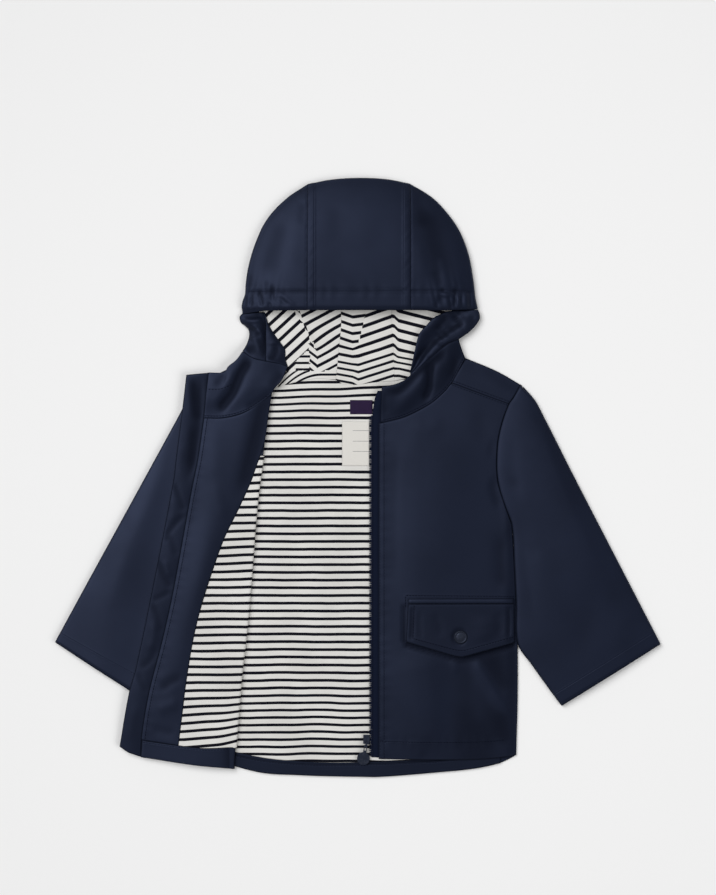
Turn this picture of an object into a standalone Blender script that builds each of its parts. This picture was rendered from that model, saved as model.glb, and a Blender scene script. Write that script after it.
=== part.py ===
"""Kids raincoat lying open and face up on a flat surface.

All tables and sizes below are millimetres; the model is in metres.
+X is the wearer's left, +Y points to the hood, +Z is up and the surface is z = 0.
"""

import math

import bmesh
import bpy
from mathutils import Vector

MM = 0.001

# Cloth
SHELL = 1.4  # wall of the coated outer cloth
LINING = 1.0  # wall of the striped knit
GAP = 0.3  # clearance between separate pieces
SEAM = 0.2  # each piece stops this far short of its seam line
ARM_GAP = 0.5  # a sleeve stops this far short of the body
TIP_BEND = 0.9  # bend radius at the tip of a sleeve, on the shoulder

# Heights above the surface
SHELL_FLOOR = 0.0  # underside of the back panel
KNIT_FLOOR = SHELL_FLOOR + SHELL + GAP  # underside of the back lining
OVER_KNIT = KNIT_FLOOR + LINING + GAP  # first height clear of the back lining
FOLD_MID = 6.0  # height of the middle of the opened front's fold
KNIT_BEND = 2.5  # middle radius of the lining round that fold
SHELL_BEND = 1.0  # middle radius of the outer cloth inside it
FOLD_OUT = KNIT_BEND + LINING / 2  # outside radius of the whole fold
LEAF_TOP = FOLD_MID + SHELL_BEND + SHELL / 2  # top of the opened front's outer cloth
ON_LEAF = LEAF_TOP + GAP  # underside of what lies on the opened front
FRONT_BASE = 4.3  # underside of the closed front at the zip
ARM_BASE = 4.6  # underside of the cloth at an armhole seam
COLLAR_RISE = 4.4  # rise of the closed side's collar from its neck seam
SLEEVE_TOP = 6.0  # top of a flattened sleeve
HOOD_EDGE = 5.1  # middle of the crown's wall where it leaves the fold
HOOD_RISE = 14.0  # rise of the crown above that

# Outline of the crown seen from above, as a rounded arch
CROWN_X = 1.5
CROWN_Y = 175.0
CROWN_HALF_WIDTH = 121.5
CROWN_HEIGHT = 139.0
CROWN_POWER = 2.3

MIRROR_X = 1.8  # the coat's middle line

# Seam lines and edges, each a smooth line through points with columns x, y.
# The first number is how many straight steps the line is cut into.
LINES = {
    "front_neck": (6, [(27, 58), (48, 63.5), (66, 72), (79, 80), (91, 91), (98, 99.5)]),
    "yoke_neck": (3, [(98, 99.5), (106, 114), (112, 125.5)]),
    "yoke_seam": (4, [(98, 99.5), (126, 89), (157.5, 77.5)]),
    "shoulder": (4, [(112, 125.5), (145.5, 111.5), (170, 97.5)]),
    "yoke_arm": (3, [(157.5, 77.5), (163, 85.5), (170, 97.5)]),
    "armhole": (7, [(161, -50), (153, -28), (145.5, -1.5), (145.5, 34.5), (150.5, 58.5), (157.5, 77.5)]),
    "side": (6, [(165.5, -291), (167, -230), (167, -176), (165, -118), (163, -81), (161, -50)]),
    "front_hem": (11, [(21.5, -294.5), (88, -295.5), (130, -295), (165.5, -291)]),
    "sleeve_out": (16, [(173.5, 95.2), (182, 87.5), (228, -2), (274, -91), (317, -174)]),
    "sleeve_in": (3, [(167.2, -174), (186, -202), (213, -239)]),
    "cuff": (4, [(317, -174), (213, -239)]),
    "sleeve_out_open": (16, [(-170, 95.2), (-178, 84), (-184, 73), (-228, -7.5), (-273, -89.5), (-318, -172)]),
    "sleeve_in_open": (3, [(-163.6, -174), (-182, -202), (-211, -241.5)]),
    "cuff_open": (4, [(-318, -172), (-211, -241.5)]),
    "fold": (12, [
        (-128.5, -305), (-124.5, -246), (-121.5, -209), (-116, -162), (-110.5, -98),
        (-106.5, -45), (-102, -2.5), (-97.5, 28), (-95.5, 45), (-93.5, 62), (-90.5, 88),
    ]),
    "zip_line": (12, [
        (-227.5, -292.5), (-227, -274), (-219, -225.5), (-205, -170.5), (-193.5, -118.5),
        (-174, -11.5), (-168, 18.5), (-161.5, 62.5),
    ]),
    "facing_edge": (12, [
        (-188.5, -280), (-184.5, -248), (-180.5, -215.5), (-173.5, -172.5), (-165.5, -138),
        (-154, -101), (-140, -62.5), (-126, -34), (-112, -3), (-103, 22.5),
    ]),
    "facing_top": (4, [(-103, 22.5), (-97.5, 40), (-94.5, 62), (-90.5, 88)]),
    "opened_hem": (9, [(-227.5, -292.5), (-171, -301), (-128.5, -305)]),
    "opened_band": (9, [(-226, -275), (-189, -280), (-161, -283), (-129.5, -282)]),
    "opened_neck": (7, [(-161.5, 62.5), (-141, 62.5), (-119.5, 68), (-97.5, 82), (-90.5, 88)]),
    "flap_out": (15, [
        (-250, -281.5), (-240, -225), (-233, -200), (-213, -104), (-193.5, -3), (-191, 18.5),
        (-184, 73), (-180, 107.5),
    ]),
    "collar_open_out": (3, [(-161.5, 62.5), (-159, 88), (-156.5, 110)]),
    "collar_open_top": (4, [(-156.5, 110), (-140, 110.5), (-136.5, 116), (-128, 123), (-121, 132.5)]),
    "casing_end": (2, [(-121, 132.5), (-110.5, 125.5), (-97, 122)]),
    "facing_end": (1, [(-97, 122), (-85, 120), (-74, 116.5)]),
    "collar_open_in": (3, [(-90.5, 88), (-88, 93), (-80.5, 101.5), (-74, 116.5)]),
    "casing_open_out": (7, [
        (-121, 132.5), (-117.5, 138.5), (-114.5, 147.5), (-115, 155), (-119, 159.5),
        (-122.5, 162), (-124.5, 168), (-122.5, 171.5),
    ]),
    "casing_crease": (7, [(-97, 122), (-97, 145), (-97, 162), (-99.5, 173.5)]),
    "brim_open_end": (3, [(-122.5, 171.5), (-112, 172.5), (-99.5, 173.5)]),
    "stripe_edge": (7, [
        (-74, 116.5), (-76.5, 125), (-77, 134.5), (-82.5, 143), (-88, 150.5), (-94, 161), (-97.8, 173),
    ]),
    "brim_open": (3, [(-99.5, 174.5), (-76, 175), (-53.3, 175)]),
    "crown_open": (10, [
        (-122.5, 172), (-121.5, 183), (-118.5, 192), (-117.5, 205), (-114.5, 223), (-107.5, 246),
        (-95.5, 271), (-75, 293), (-55, 307),
    ]),
    "crown_top": (8, [(-52.5, 308.5), (-25, 312.6), (1, 314), (28, 312.8), (55, 308.5)]),
    "crown_closed": (10, [
        (125, 177), (122.5, 188), (121.5, 197), (119.8, 210), (115.5, 233), (107.5, 255),
        (96.5, 273), (78.5, 293), (57.5, 307),
    ]),
    "knit_seam_open": (8, [(-23.5, 102.5), (-20, 138), (-18, 169), (-24, 210), (-38, 255), (-50, 287)]),
    "knit_seam_closed": (8, [(38, 101), (36.5, 138), (34.5, 169), (37, 210), (44, 255), (51, 287)]),
    "knit_neck_open": (5, [(-92, 93.5), (-64.5, 100.5), (-42, 104), (-23.5, 102.5)]),
    "knit_neck_mid": (5, [(-23.5, 102.5), (-16, 98.5), (-2, 97.5), (16.5, 100), (38, 101)]),
    "knit_neck_closed": (3, [(38, 101), (48, 103.5), (60, 105)]),
    "knit_out_open": (8, [
        (-92, 93.5), (-81, 118), (-84, 134), (-94, 150), (-104, 173), (-108, 205), (-102, 238), (-88, 262),
    ]),
    "knit_out_closed": (8, [
        (60, 105), (64, 127), (69, 147), (82, 162), (97, 174), (108, 205), (102, 238), (90, 262),
    ]),
    "casing_in": (9, [
        (54.5, 112), (58, 127.5), (60.5, 139.5), (64, 151), (70, 158), (79, 167.5), (92.5, 174.2),
    ]),
    "casing_out": (6, [(54.5, 106), (66, 115), (79, 127.5), (93, 139.5), (105, 145)]),
    "casing_tip": (3, [(105, 145), (116, 152.5), (123.5, 160.5), (127.3, 168), (125.5, 176)]),
    "casing_brim": (3, [(92.5, 174.2), (108, 175), (125.5, 176)]),
    "collar_roll": (3, [(26, 95), (38, 97), (48, 101), (54.5, 106)]),
    "collar_back": (3, [(112, 125.5), (109, 132.5), (106, 141), (105, 145)]),
    "tape_out": (16, [(14.8, -293), (14.8, -100), (15.4, 62), (17.5, 82), (20.5, 91)]),
    "tape_in": (16, [(24, -293), (24, -100), (24, 52), (25, 80), (25.6, 91)]),
}

BACK_EDGE = [
    (-102, -309.3), (-60, -312), (-41, -312.8), (0, -313.6), (23, -313.7), (74, -309.8), (122.5, -305),
    (149, -299.3), (165.5, -292),
]
BACK_BAND = [
    (-152, -284), (-129, -290.5), (-93.5, -297), (-41, -300.5), (11, -300), (60, -298), (88, -296.5),
    (125, -291), (150, -284),
]
KNIT_BACK_OUT = [
    (151, -282), (151, -60), (141, -25), (140, 35), (143, 58), (118, 90), (97, 96), (60, 104.5),
]

# Left pocket, columns x, y
FLAP = [(52, -132.1), (50, -171.5), (101, -186.5), (108.5, -187.5), (115, -186), (163.6, -172.4), (163.4, -132.1)]
WELT = [(52, -126.5), (52, -131.6), (163.4, -131.6), (163.4, -126.5)]
WELT_WALL = 1.8
SNAP_AT = (107.0, -166.5)
SNAP_RADIUS = 6.75
SNAP_WALL = 2.2
SNAP_ROUND = 0.7

# Labels at the back neck: left, right, bottom, top and wall
WOVEN_LABEL = (-8.7, 11.6, 66.5, 81.5, 0.6)
NAME_LABEL = (-17.0, 11.6, 12.5, 59.0, 0.5)

# Zip
CHAIN_X = 13.5
CHAIN_WIDTH = 1.8
CHAIN_WALL = 2.2
CHAIN_END_Y = -293.0
CHAIN_TOP_Y = 66.0
SLIDER_X = 8.6
SLIDER_WIDTH = 7.0
SLIDER_LENGTH = 9.6
SLIDER_WALL = 2.8
SLIDER_TOP_Y = -269.4
SLIDER_ROUND = 0.8
POST_WALL = 1.2
POST_APART = 3.6
POST_LENGTH = 2.6
PIN_RADIUS = 0.6
PIN_Z = 7.2
PIN_Y = -277.6
EYE_RADIUS = 1.3
EYE_HOLE = 0.9
EYE_WIDTH = 1.8
NECK_WIDTH = 3.4
NECK_SLOT = 1.6
PULL_WALL = 1.5
PULL_REACH = 17.0
PULL_RADIUS = 6.75
PULL_TILT = math.radians(6.5)
PULL_SWING = math.radians(11.0)  # the pull hangs a little to one side
ROUND_STEPS = 24
BEND_STEPS = 3

NAVY = (0.016, 0.020, 0.042)
NAVY_DEEP = (0.012, 0.015, 0.032)
KNIT = (0.78, 0.77, 0.74)
PLUM = (0.09, 0.07, 0.14)
CREAM = (0.80, 0.78, 0.74)
GUN_METAL = (0.11, 0.12, 0.16)


def material(name, colour, roughness, metallic=0.0):
    made = bpy.data.materials.new(name)
    made.use_nodes = True
    shader = made.node_tree.nodes["Principled BSDF"]
    shader.inputs["Base Color"].default_value = (*colour, 1.0)
    shader.inputs["Roughness"].default_value = roughness
    shader.inputs["Metallic"].default_value = metallic
    return made


def smooth(value):
    held = min(1.0, max(0.0, value))
    return held * held * (3.0 - 2.0 * held)


def between(value, low, high):
    return smooth((value - low) / (high - low))


def through(points, steps):
    """A smooth line through the points, cut into equal steps."""
    dense = []
    last = len(points) - 1
    for i in range(last):
        before = Vector(points[max(i - 1, 0)])
        start = Vector(points[i])
        stop = Vector(points[i + 1])
        after = Vector(points[min(i + 2, last)])
        span = (stop - start).length
        lead_in = (stop - before) * (span / ((start - before).length + span))
        lead_out = (after - start) * (span / ((after - stop).length + span))
        for k in range(16):
            t = k / 16
            a = 2 * t**3 - 3 * t**2 + 1
            b = t**3 - 2 * t**2 + t
            c = -2 * t**3 + 3 * t**2
            d = t**3 - t**2
            dense.append(start * a + lead_in * b + stop * c + lead_out * d)
    dense.append(Vector(points[last]))
    return even(dense, steps)


def even(points, steps):
    """The same line cut into equal steps."""
    lengths = [0.0]
    for a, b in zip(points, points[1:]):
        lengths.append(lengths[-1] + (b - a).length)
    made = []
    k = 0
    for i in range(steps + 1):
        wanted = lengths[-1] * i / steps
        while k < len(points) - 2 and lengths[k + 1] < wanted:
            k += 1
        share = (wanted - lengths[k]) / max(lengths[k + 1] - lengths[k], 1e-9)
        made.append(points[k].lerp(points[k + 1], min(1.0, share)))
    return made


def line(*names, mirror=False):
    """Joined named lines; a name starting with - runs backwards."""
    made = []
    for name in names:
        steps, points = LINES[name.lstrip("-")]
        part = through(points, steps)
        if name.startswith("-"):
            part.reverse()
        made += part if not made else part[1:]
    return mirrored(made) if mirror else made


def mirrored(points):
    return [Vector((2 * MIRROR_X - p.x, p.y)) for p in points]


def free(points, steps):
    """A straight-sided line through the points, cut into equal steps."""
    return even([Vector(p) for p in points], steps)


def patch(west, east, south, north):
    """Fill four sides with a net of points; sides run south to north and west to east."""
    rows = len(west) - 1
    cols = len(south) - 1
    south = pinned(south, west[0], east[0])
    north = pinned(north, west[rows], east[rows])
    net = []
    for j in range(rows + 1):
        v = j / rows
        row = []
        for i in range(cols + 1):
            u = i / cols
            across = west[j] * (1 - u) + east[j] * u
            along = south[i] * (1 - v) + north[i] * v
            low = south[0] * (1 - u) + south[cols] * u
            high = north[0] * (1 - u) + north[cols] * u
            row.append(across + along - low * (1 - v) - high * v)
        net.append(row)
    return net


def pinned(points, first, last):
    count = len(points) - 1
    off_first = first - points[0]
    off_last = last - points[count]
    return [p + off_first * (1 - i / count) + off_last * (i / count) for i, p in enumerate(points)]


def grid(cols, rows, place):
    """A square net whose corners are put where place(i, j) says."""
    bm = bmesh.new()
    bmesh.ops.create_grid(bm, x_segments=cols, y_segments=rows, size=0.5)
    for vert in bm.verts:
        i = round((vert.co.x + 0.5) * cols)
        j = round((vert.co.y + 0.5) * rows)
        vert.co = place(i, j)
    return bm


def draw_in(bm, by):
    """Move the border inwards, in plan."""
    moves = {}
    for edge in bm.edges:
        if len(edge.link_faces) != 1:
            continue
        a, b = edge.verts
        along = (b.co - a.co).to_2d()
        if along.length < 1e-9:
            continue
        inward = Vector((-along.y, along.x)).normalized()
        middle = edge.link_faces[0].calc_center_median()
        if (middle - a.co).to_2d().dot(inward) < 0:
            inward = -inward
        moves.setdefault(a, []).append(inward)
        moves.setdefault(b, []).append(inward)
    for vert, sides in moves.items():
        total = sides[0] + sides[-1]
        scale = by / max(0.35, 1 + sides[0].dot(sides[-1]))
        vert.co.x += total.x * scale
        vert.co.y += total.y * scale


def thicken(bm, wall):
    """Raise a copy of the sheet by the wall and close the sides."""
    made = bmesh.ops.extrude_face_region(bm, geom=bm.faces[:])
    raised = [item for item in made["geom"] if isinstance(item, bmesh.types.BMVert)]
    bmesh.ops.translate(bm, verts=raised, vec=(0, 0, wall))
    bmesh.ops.recalc_face_normals(bm, faces=bm.faces[:])


def add(name, bm, slot, soft=False, wall=None, even_wall=True):
    """Scale the bmesh to metres and put it in the scene."""
    bmesh.ops.scale(bm, verts=bm.verts[:], vec=(MM, MM, MM))
    mesh = bpy.data.meshes.new(name)
    bm.to_mesh(mesh)
    bm.free()
    for face in mesh.polygons:
        face.use_smooth = soft
    made = bpy.data.objects.new(name, mesh)
    made.data.materials.append(slot)
    coat.objects.link(made)
    if wall:
        shell = made.modifiers.new("wall", "SOLIDIFY")
        shell.thickness = wall * MM
        shell.offset = 0.0
        shell.use_even_offset = even_wall
        shell.use_rim = True
    return made


def sheet(sides, lift, inset=SEAM):
    """An open cloth sheet over four sides, lifted by lift(x, y, u, v)."""
    net = patch(*sides)
    rows = len(net) - 1
    cols = len(net[0]) - 1
    bm = grid(cols, rows, lambda i, j: net[j][i].to_3d())
    where = {}
    for vert in bm.verts:
        for j in range(rows + 1):
            for i in range(cols + 1):
                if (net[j][i].to_3d() - vert.co).length < 1e-4:
                    where[vert] = (i / cols, j / rows)
    draw_in(bm, inset)
    for vert, (u, v) in where.items():
        vert.co.z = lift(vert.co.x, vert.co.y, u, v)
    return bm


def panel(name, sides, lift, wall, slot, inset=SEAM):
    bm = sheet(sides, lift, inset)
    thicken(bm, wall)
    return add(name, bm, slot)


def plate(name, outline, low, wall, slot, inset=SEAM):
    """A flat piece with a closed outline."""
    bm = bmesh.new()
    bmesh.ops.create_circle(bm, cap_ends=True, radius=1.0, segments=len(outline))
    for i, vert in enumerate(sorted(bm.verts, key=lambda v: math.atan2(v.co.y, v.co.x))):
        vert.co = (outline[i][0], outline[i][1], low)
    draw_in(bm, inset)
    bmesh.ops.triangulate(bm, faces=bm.faces[:])
    thicken(bm, wall)
    return add(name, bm, slot)


def laid_on(name, sides, lift, over, outline, wall, slot):
    """A piece cut from the cloth below it and moved up clear of it."""
    bm = sheet(sides, lift)
    bmesh.ops.translate(bm, verts=bm.verts[:], vec=(0, 0, over))
    middle = sum((Vector(p) for p in outline), Vector((0, 0))) / len(outline)
    for a, b in zip(outline, outline[1:] + outline[:1]):
        along = Vector(b) - Vector(a)
        outward = Vector((along.y, -along.x))
        if outward.dot(middle - Vector(a)) > 0:
            outward = -outward
        bmesh.ops.bisect_plane(
            bm,
            geom=bm.verts[:] + bm.edges[:] + bm.faces[:],
            dist=1e-5,
            plane_co=(a[0], a[1], 0),
            plane_no=(outward.x, outward.y, 0),
            clear_outer=True,
        )
    thicken(bm, wall)
    return add(name, bm, slot)


def outward_from(edge, other):
    """For each point of an edge, the way out in plan, away from the other edge."""
    made = []
    last = len(edge) - 1
    for j in range(last + 1):
        along = edge[min(j + 1, last)] - edge[max(j - 1, 0)]
        normal = Vector((along.y, -along.x)).normalized()
        if normal.dot(edge[j] - other[j]) < 0:
            normal = -normal
        made.append(normal)
    return made


def folded(name, low, high, fold, slot, wall, back_off):
    """Cloth folded over along a line: a lower leaf, a round bend and an upper leaf.

    low and high are (far side, first end, last end, height function); ends run from far to fold.
    """
    rows = len(fold) - 1
    outward = outward_from(fold, low[0])
    inner = [p - n * back_off for p, n in zip(fold, outward)]
    under = patch(low[0], inner, low[1], low[2])
    over = patch(high[0], inner, high[1], high[2])
    under_cols = len(low[1]) - 1
    over_cols = len(high[1]) - 1

    def place(i, j):
        if i <= under_cols:
            spot = under[j][i]
            return spot.to_3d() + Vector((0, 0, low[3](spot.x, spot.y)))
        if i >= under_cols + BEND_STEPS:
            spot = over[j][over_cols - (i - under_cols - BEND_STEPS)]
            return spot.to_3d() + Vector((0, 0, high[3](spot.x, spot.y)))
        spot = inner[j]
        base = low[3](spot.x, spot.y)
        top = high[3](spot.x, spot.y)
        radius = (top - base) / 2
        turn = -math.pi / 2 + math.pi * (i - under_cols) / BEND_STEPS
        out = outward[j] * (radius * math.cos(turn))
        return (spot + out).to_3d() + Vector((0, 0, (base + top) / 2 + radius * math.sin(turn)))

    bm = grid(under_cols + BEND_STEPS + over_cols, rows, place)
    bmesh.ops.recalc_face_normals(bm, faces=bm.faces[:])
    add(name, bm, slot, soft=True, wall=wall)


def tube(name, out_side, in_side, cuff, slot):
    """A sleeve pressed flat: two leaves joined by a round bend down both edges."""
    rows = len(out_side) - 1
    cols = len(cuff) - 1
    full = (SLEEVE_TOP - SHELL) / 2
    away_out = outward_from(out_side, in_side)
    away_in = outward_from(in_side, out_side)
    radii = [
        min(full, max(TIP_BEND, 0.3 * (a - b).length - SHELL / 2)) for a, b in zip(out_side, in_side)
    ]
    starts = [p - n * (r + SHELL / 2) for p, n, r in zip(out_side, away_out, radii)]
    stops = [p - n * (r + SHELL / 2 + ARM_GAP) for p, n, r in zip(in_side, away_in, radii)]
    net = patch(starts, stops, free([starts[0], stops[0]], cols), cuff)
    loop = 2 * (cols + BEND_STEPS)

    def place(i, j):
        i = i % loop
        middle = radii[j] + SHELL / 2
        if i <= cols:
            return net[j][i].to_3d() + Vector((0, 0, middle - radii[j]))
        if i < cols + BEND_STEPS:
            turn = -math.pi / 2 + math.pi * (i - cols) / BEND_STEPS
            spot = net[j][cols] + away_in[j] * (radii[j] * math.cos(turn))
        elif i <= 2 * cols + BEND_STEPS:
            return net[j][2 * cols + BEND_STEPS - i].to_3d() + Vector((0, 0, middle + radii[j]))
        else:
            turn = math.pi / 2 + math.pi * (i - 2 * cols - BEND_STEPS) / BEND_STEPS
            spot = net[j][0] - away_out[j] * (radii[j] * math.cos(turn))
        return spot.to_3d() + Vector((0, 0, middle + radii[j] * math.sin(turn)))

    bm = grid(loop, rows, place)
    bmesh.ops.remove_doubles(bm, verts=bm.verts[:], dist=1e-4)
    bmesh.ops.recalc_face_normals(bm, faces=bm.faces[:])
    add(name, bm, slot, soft=True, wall=SHELL, even_wall=False)


def front_lift(x, y, u, v):
    """Underside of the closed front."""
    full = math.sin(math.pi * between(x, 0, 190))
    chest = 2.6 * full * between(y, -300, -180) * (1 - between(y, 20, 100))
    arm = (ARM_BASE - FRONT_BASE) * between(x, 90, 150)
    roll = 1 - between(x, 153, 172) * (1 - between(y, -60, -15))
    drop = (FRONT_BASE - KNIT_FLOOR) * 1.6 * (1 - roll)
    under_flap = 0.9 * math.exp(-(((x - 88) / 9) ** 2)) * between(-y, 186, 215) * between(y, -292, -262)
    return max(KNIT_FLOOR, FRONT_BASE + chest * roll + arm - drop + under_flap)


def yoke_lift(x, y, u, v):
    return ARM_BASE - (ARM_BASE - KNIT_FLOOR) * between(v, 0.35, 1.1)


def hidden_yoke_lift(x, y, u, v):
    return OVER_KNIT - (OVER_KNIT - KNIT_FLOOR) * between(v, 0.35, 1.0)


def collar_closed_lift(x, y, u, v):
    """Underside of the collar on the closed side."""
    fold = 1.6 * math.exp(-(((x - 74 + (y - 90) * 0.12) / 8) ** 2)) * between(v, 0.1, 0.5)
    return ARM_BASE + COLLAR_RISE * between(v, -0.1, 0.9) * (1 - 0.6 * between(x, 92, 112)) - fold * 0.8


def casing_closed_lift(x, y, u, v):
    bulge = math.sin(math.pi * (0.08 + 0.67 * u))
    tip = 1 - 0.8 * between(u, 0.6, 1) * between(v, 0.6, 0.95)
    return OVER_KNIT + 0.3 + 6.4 * (bulge - math.sin(math.pi * 0.08)) * tip * (1 - 0.45 * between(v, 0.8, 1))


def casing_open_lift(x, y, u, v):
    bulge = math.sin(math.pi * (0.02 + 0.76 * u))
    rest = KNIT_FLOOR + 4.8 * between(v, 0.45, 0.0)
    return rest + (1 - 0.5 * between(v, 0.8, 1)) * 5.2 * bulge * (1 - 0.6 * between(v, 0.45, 0.0))


def casing_facing_lift(x, y, u, v):
    start = KNIT_FLOOR + 5.2 * math.sin(math.pi * 0.78) * (1 - 0.5 * between(v, 0.8, 1))
    start += 3.0 * between(v, 0.3, 0.0)
    return OVER_KNIT + (start - OVER_KNIT) * (1 - u) + 1.3 * math.sin(math.pi * u)


def collar_open_lift(x, y, u, v):
    """Underside of the opened collar, with its long slanting dip."""
    slant = (x + 124) * 0.83 - (y - 100) * 0.55
    dip = 2.2 * math.exp(-((slant / 7.5) ** 2)) * between(v, 0.02, 0.3)
    side = 3.4 * between(u, 0.7, 1.0) * between(v, 0.35, 1.0)
    return ON_LEAF + 1.8 * between(v, 0, 0.5) * (1 - 0.8 * between(v, 0.6, 1)) - dip * 0.7 - side


def leaf_sag(x, y):
    """The opened front sinks where nothing lies below it."""
    return -2.4 * between(-y, 238, 300) * between(-x, 165, 225)


def leaf_low(x, y):
    return FOLD_MID - SHELL_BEND


def leaf_high(x, y):
    return FOLD_MID + SHELL_BEND + leaf_sag(x, y)


def knit_low(x, y):
    return FOLD_MID - KNIT_BEND


def knit_high(x, y):
    return FOLD_MID + KNIT_BEND + leaf_sag(x, y)


def on_leaf(x, y, u, v):
    return ON_LEAF + leaf_sag(x, y)


def flap_lift(x, y, u, v):
    """The guard strip behind the zip, with long soft ripples."""
    ripple = 0.7 * math.sin(math.pi * u) * (1 + math.sin(y * 0.085 + x * 0.05))
    return LEAF_TOP - SHELL + 0.3 + leaf_sag(x, y) + ripple


def crown(x, y):
    """Middle of the crown's wall, the same for all three hood panels."""
    side = abs((x - CROWN_X) / CROWN_HALF_WIDTH) ** CROWN_POWER
    front = max(0.0, (y - CROWN_Y) / CROWN_HEIGHT) ** CROWN_POWER
    reach = min(1.0, (side + front) ** (1 / CROWN_POWER))
    return HOOD_EDGE + HOOD_RISE * (1 - reach**4) ** 0.8


def hood_floor(x, y):
    return SHELL_FLOOR + SHELL / 2 + 0.02


def knit_lift(x, y, u, v):
    """Underside of the hood lining, with its two pleats."""
    first = 2.0 * math.exp(-((((x + 52) * 0.88 + (y - 151) * 0.47) / 4.5) ** 2))
    first *= between(y, 122, 140) * (1 - between(y, 168, 185))
    second = 1.2 * math.exp(-(((x - 3 - (y - 155) * 0.24) / 4.0) ** 2))
    second *= between(y, 128, 145) * (1 - between(y, 168, 185))
    return KNIT_FLOOR + first + second


def tape_lift(x, y, u, v):
    return OVER_KNIT + 3.4 * between(y, 62, 92)


def box(bm, low, high):
    made = bmesh.ops.create_cube(bm, size=1.0)["verts"]
    for vert in made:
        for axis in range(3):
            vert.co[axis] = low[axis] if vert.co[axis] < 0 else high[axis]
    return made


def rounded(made, width, segments=2):
    soft = made.modifiers.new("round", "BEVEL")
    soft.width = width * MM
    soft.segments = segments
    soft.limit_method = "ANGLE"
    return made


def cut(made, cutter):
    cutter.hide_render = True
    cutter.display_type = "WIRE"
    coat.objects.unlink(cutter)
    cutters.objects.link(cutter)
    hole = made.modifiers.new("cut", "BOOLEAN")
    hole.operation = "DIFFERENCE"
    hole.solver = "EXACT"
    hole.object = cutter


def join(made, other):
    """Join a solid onto another one of the same piece."""
    other.hide_render = True
    other.display_type = "WIRE"
    coat.objects.unlink(other)
    cutters.objects.link(other)
    joined = made.modifiers.new("join", "BOOLEAN")
    joined.operation = "UNION"
    joined.solver = "EXACT"
    joined.object = other


def cylinder(name, at, radius, height, turn, slot, steps=ROUND_STEPS):
    bm = bmesh.new()
    bmesh.ops.create_cone(
        bm, cap_ends=True, segments=steps, radius1=radius, radius2=radius, depth=height
    )
    made = add(name, bm, slot, soft=False)
    made.location = Vector(at) * MM
    made.rotation_euler = turn
    return made


for item in list(bpy.data.objects):
    bpy.data.objects.remove(item, do_unlink=True)

coat = bpy.data.collections.new("kids raincoat")
cutters = bpy.data.collections.new("cutters")
bpy.context.scene.collection.children.link(coat)
bpy.context.scene.collection.children.link(cutters)

SLOTS = {
    "shell": (NAVY, 0.5, 0.0),
    "knit": (KNIT, 0.9, 0.0),
    "tape": (NAVY_DEEP, 0.8, 0.0),
    "chain": (NAVY_DEEP, 0.4, 0.0),
    "woven": (PLUM, 0.8, 0.0),
    "label": (CREAM, 0.8, 0.0),
    "metal": (GUN_METAL, 0.35, 0.6),
}
PIECE_SLOTS = {}


def own(piece, slot):
    """Each piece has a material of its own."""
    colour, roughness, metallic = SLOTS[slot]
    PIECE_SLOTS[piece] = material(piece, colour, roughness, metallic)
    return PIECE_SLOTS[piece]


# Back panel, lining and hem band
side_closed = line("side", "armhole", "yoke_arm")
shoulder_closed = line("-shoulder")
neck_side = [Vector((102, 98)), Vector((-98.4, 98))]
back_outline = through([Vector(p) for p in BACK_EDGE], 16)
back_outline += side_closed[1:]
back_outline += shoulder_closed[1:]
back_outline += neck_side
back_outline += mirrored(shoulder_closed)[::-1]
back_outline += mirrored(side_closed)[::-1][1:]
plate("back_shell", back_outline, SHELL_FLOOR, SHELL, own("back_shell", "shell"))

band_top = through([Vector(p) for p in BACK_BAND], 16)
knit_outline = list(band_top)
knit_outline += [Vector(p) for p in KNIT_BACK_OUT[:-1]]
knit_outline += line("knit_neck_open", "knit_neck_mid", "knit_neck_closed")[::-1]
knit_outline += [Vector((2 * MIRROR_X - p[0], p[1])) for p in KNIT_BACK_OUT[:-2]][::-1]
plate("back_lining", knit_outline, KNIT_FLOOR, LINING, own("back_lining", "knit"))

band_low = through([Vector(p) for p in BACK_EDGE[:-1]], 16)
band_low = [Vector((-152, -296))] + band_low
plate(
    "back_hem", band_low + band_top[::-1], KNIT_FLOOR, SHELL, own("back_hem", "shell"),
)

# Closed front
front_sides = (
    free([(21.5, -294.5), (21.5, 57)], 13),
    line("side", "armhole"),
    line("front_hem"),
    free([(21.5, 57), (27, 58)], 1) + line("front_neck", "yoke_seam")[1:],
)
panel("left_front", front_sides, front_lift, SHELL, own("left_front", "shell"))
yoke_sides = (line("yoke_neck"), line("yoke_arm"), line("yoke_seam"), line("shoulder"))
panel("left_yoke", yoke_sides, yoke_lift, SHELL, own("left_yoke", "shell"))
laid_on(
    "pocket_flap", front_sides, front_lift, SHELL + GAP, FLAP, SHELL, own("pocket_flap", "shell"),
)
laid_on("pocket_welt", front_sides, front_lift, SHELL + GAP, WELT, WELT_WALL, own("pocket_welt", "shell"))
cap_z = front_lift(*SNAP_AT, 0, 0) + 2 * (SHELL + GAP) + SNAP_WALL / 2
cap = cylinder("snap_cap", (*SNAP_AT, cap_z), SNAP_RADIUS, SNAP_WALL, (0, 0, 0), own("snap_cap", "metal"))
rounded(cap, SNAP_ROUND)

# Sleeves
body_edge = line("-yoke_arm", "-armhole", "-side")[:13]
tube("left_sleeve", line("sleeve_out"), body_edge + line("sleeve_in"), line("cuff"), own("left_sleeve", "shell"))
body_edge = mirrored(body_edge) + line("sleeve_in_open")
tube("right_sleeve", line("sleeve_out_open"), body_edge, line("cuff_open"), own("right_sleeve", "shell"))

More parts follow.
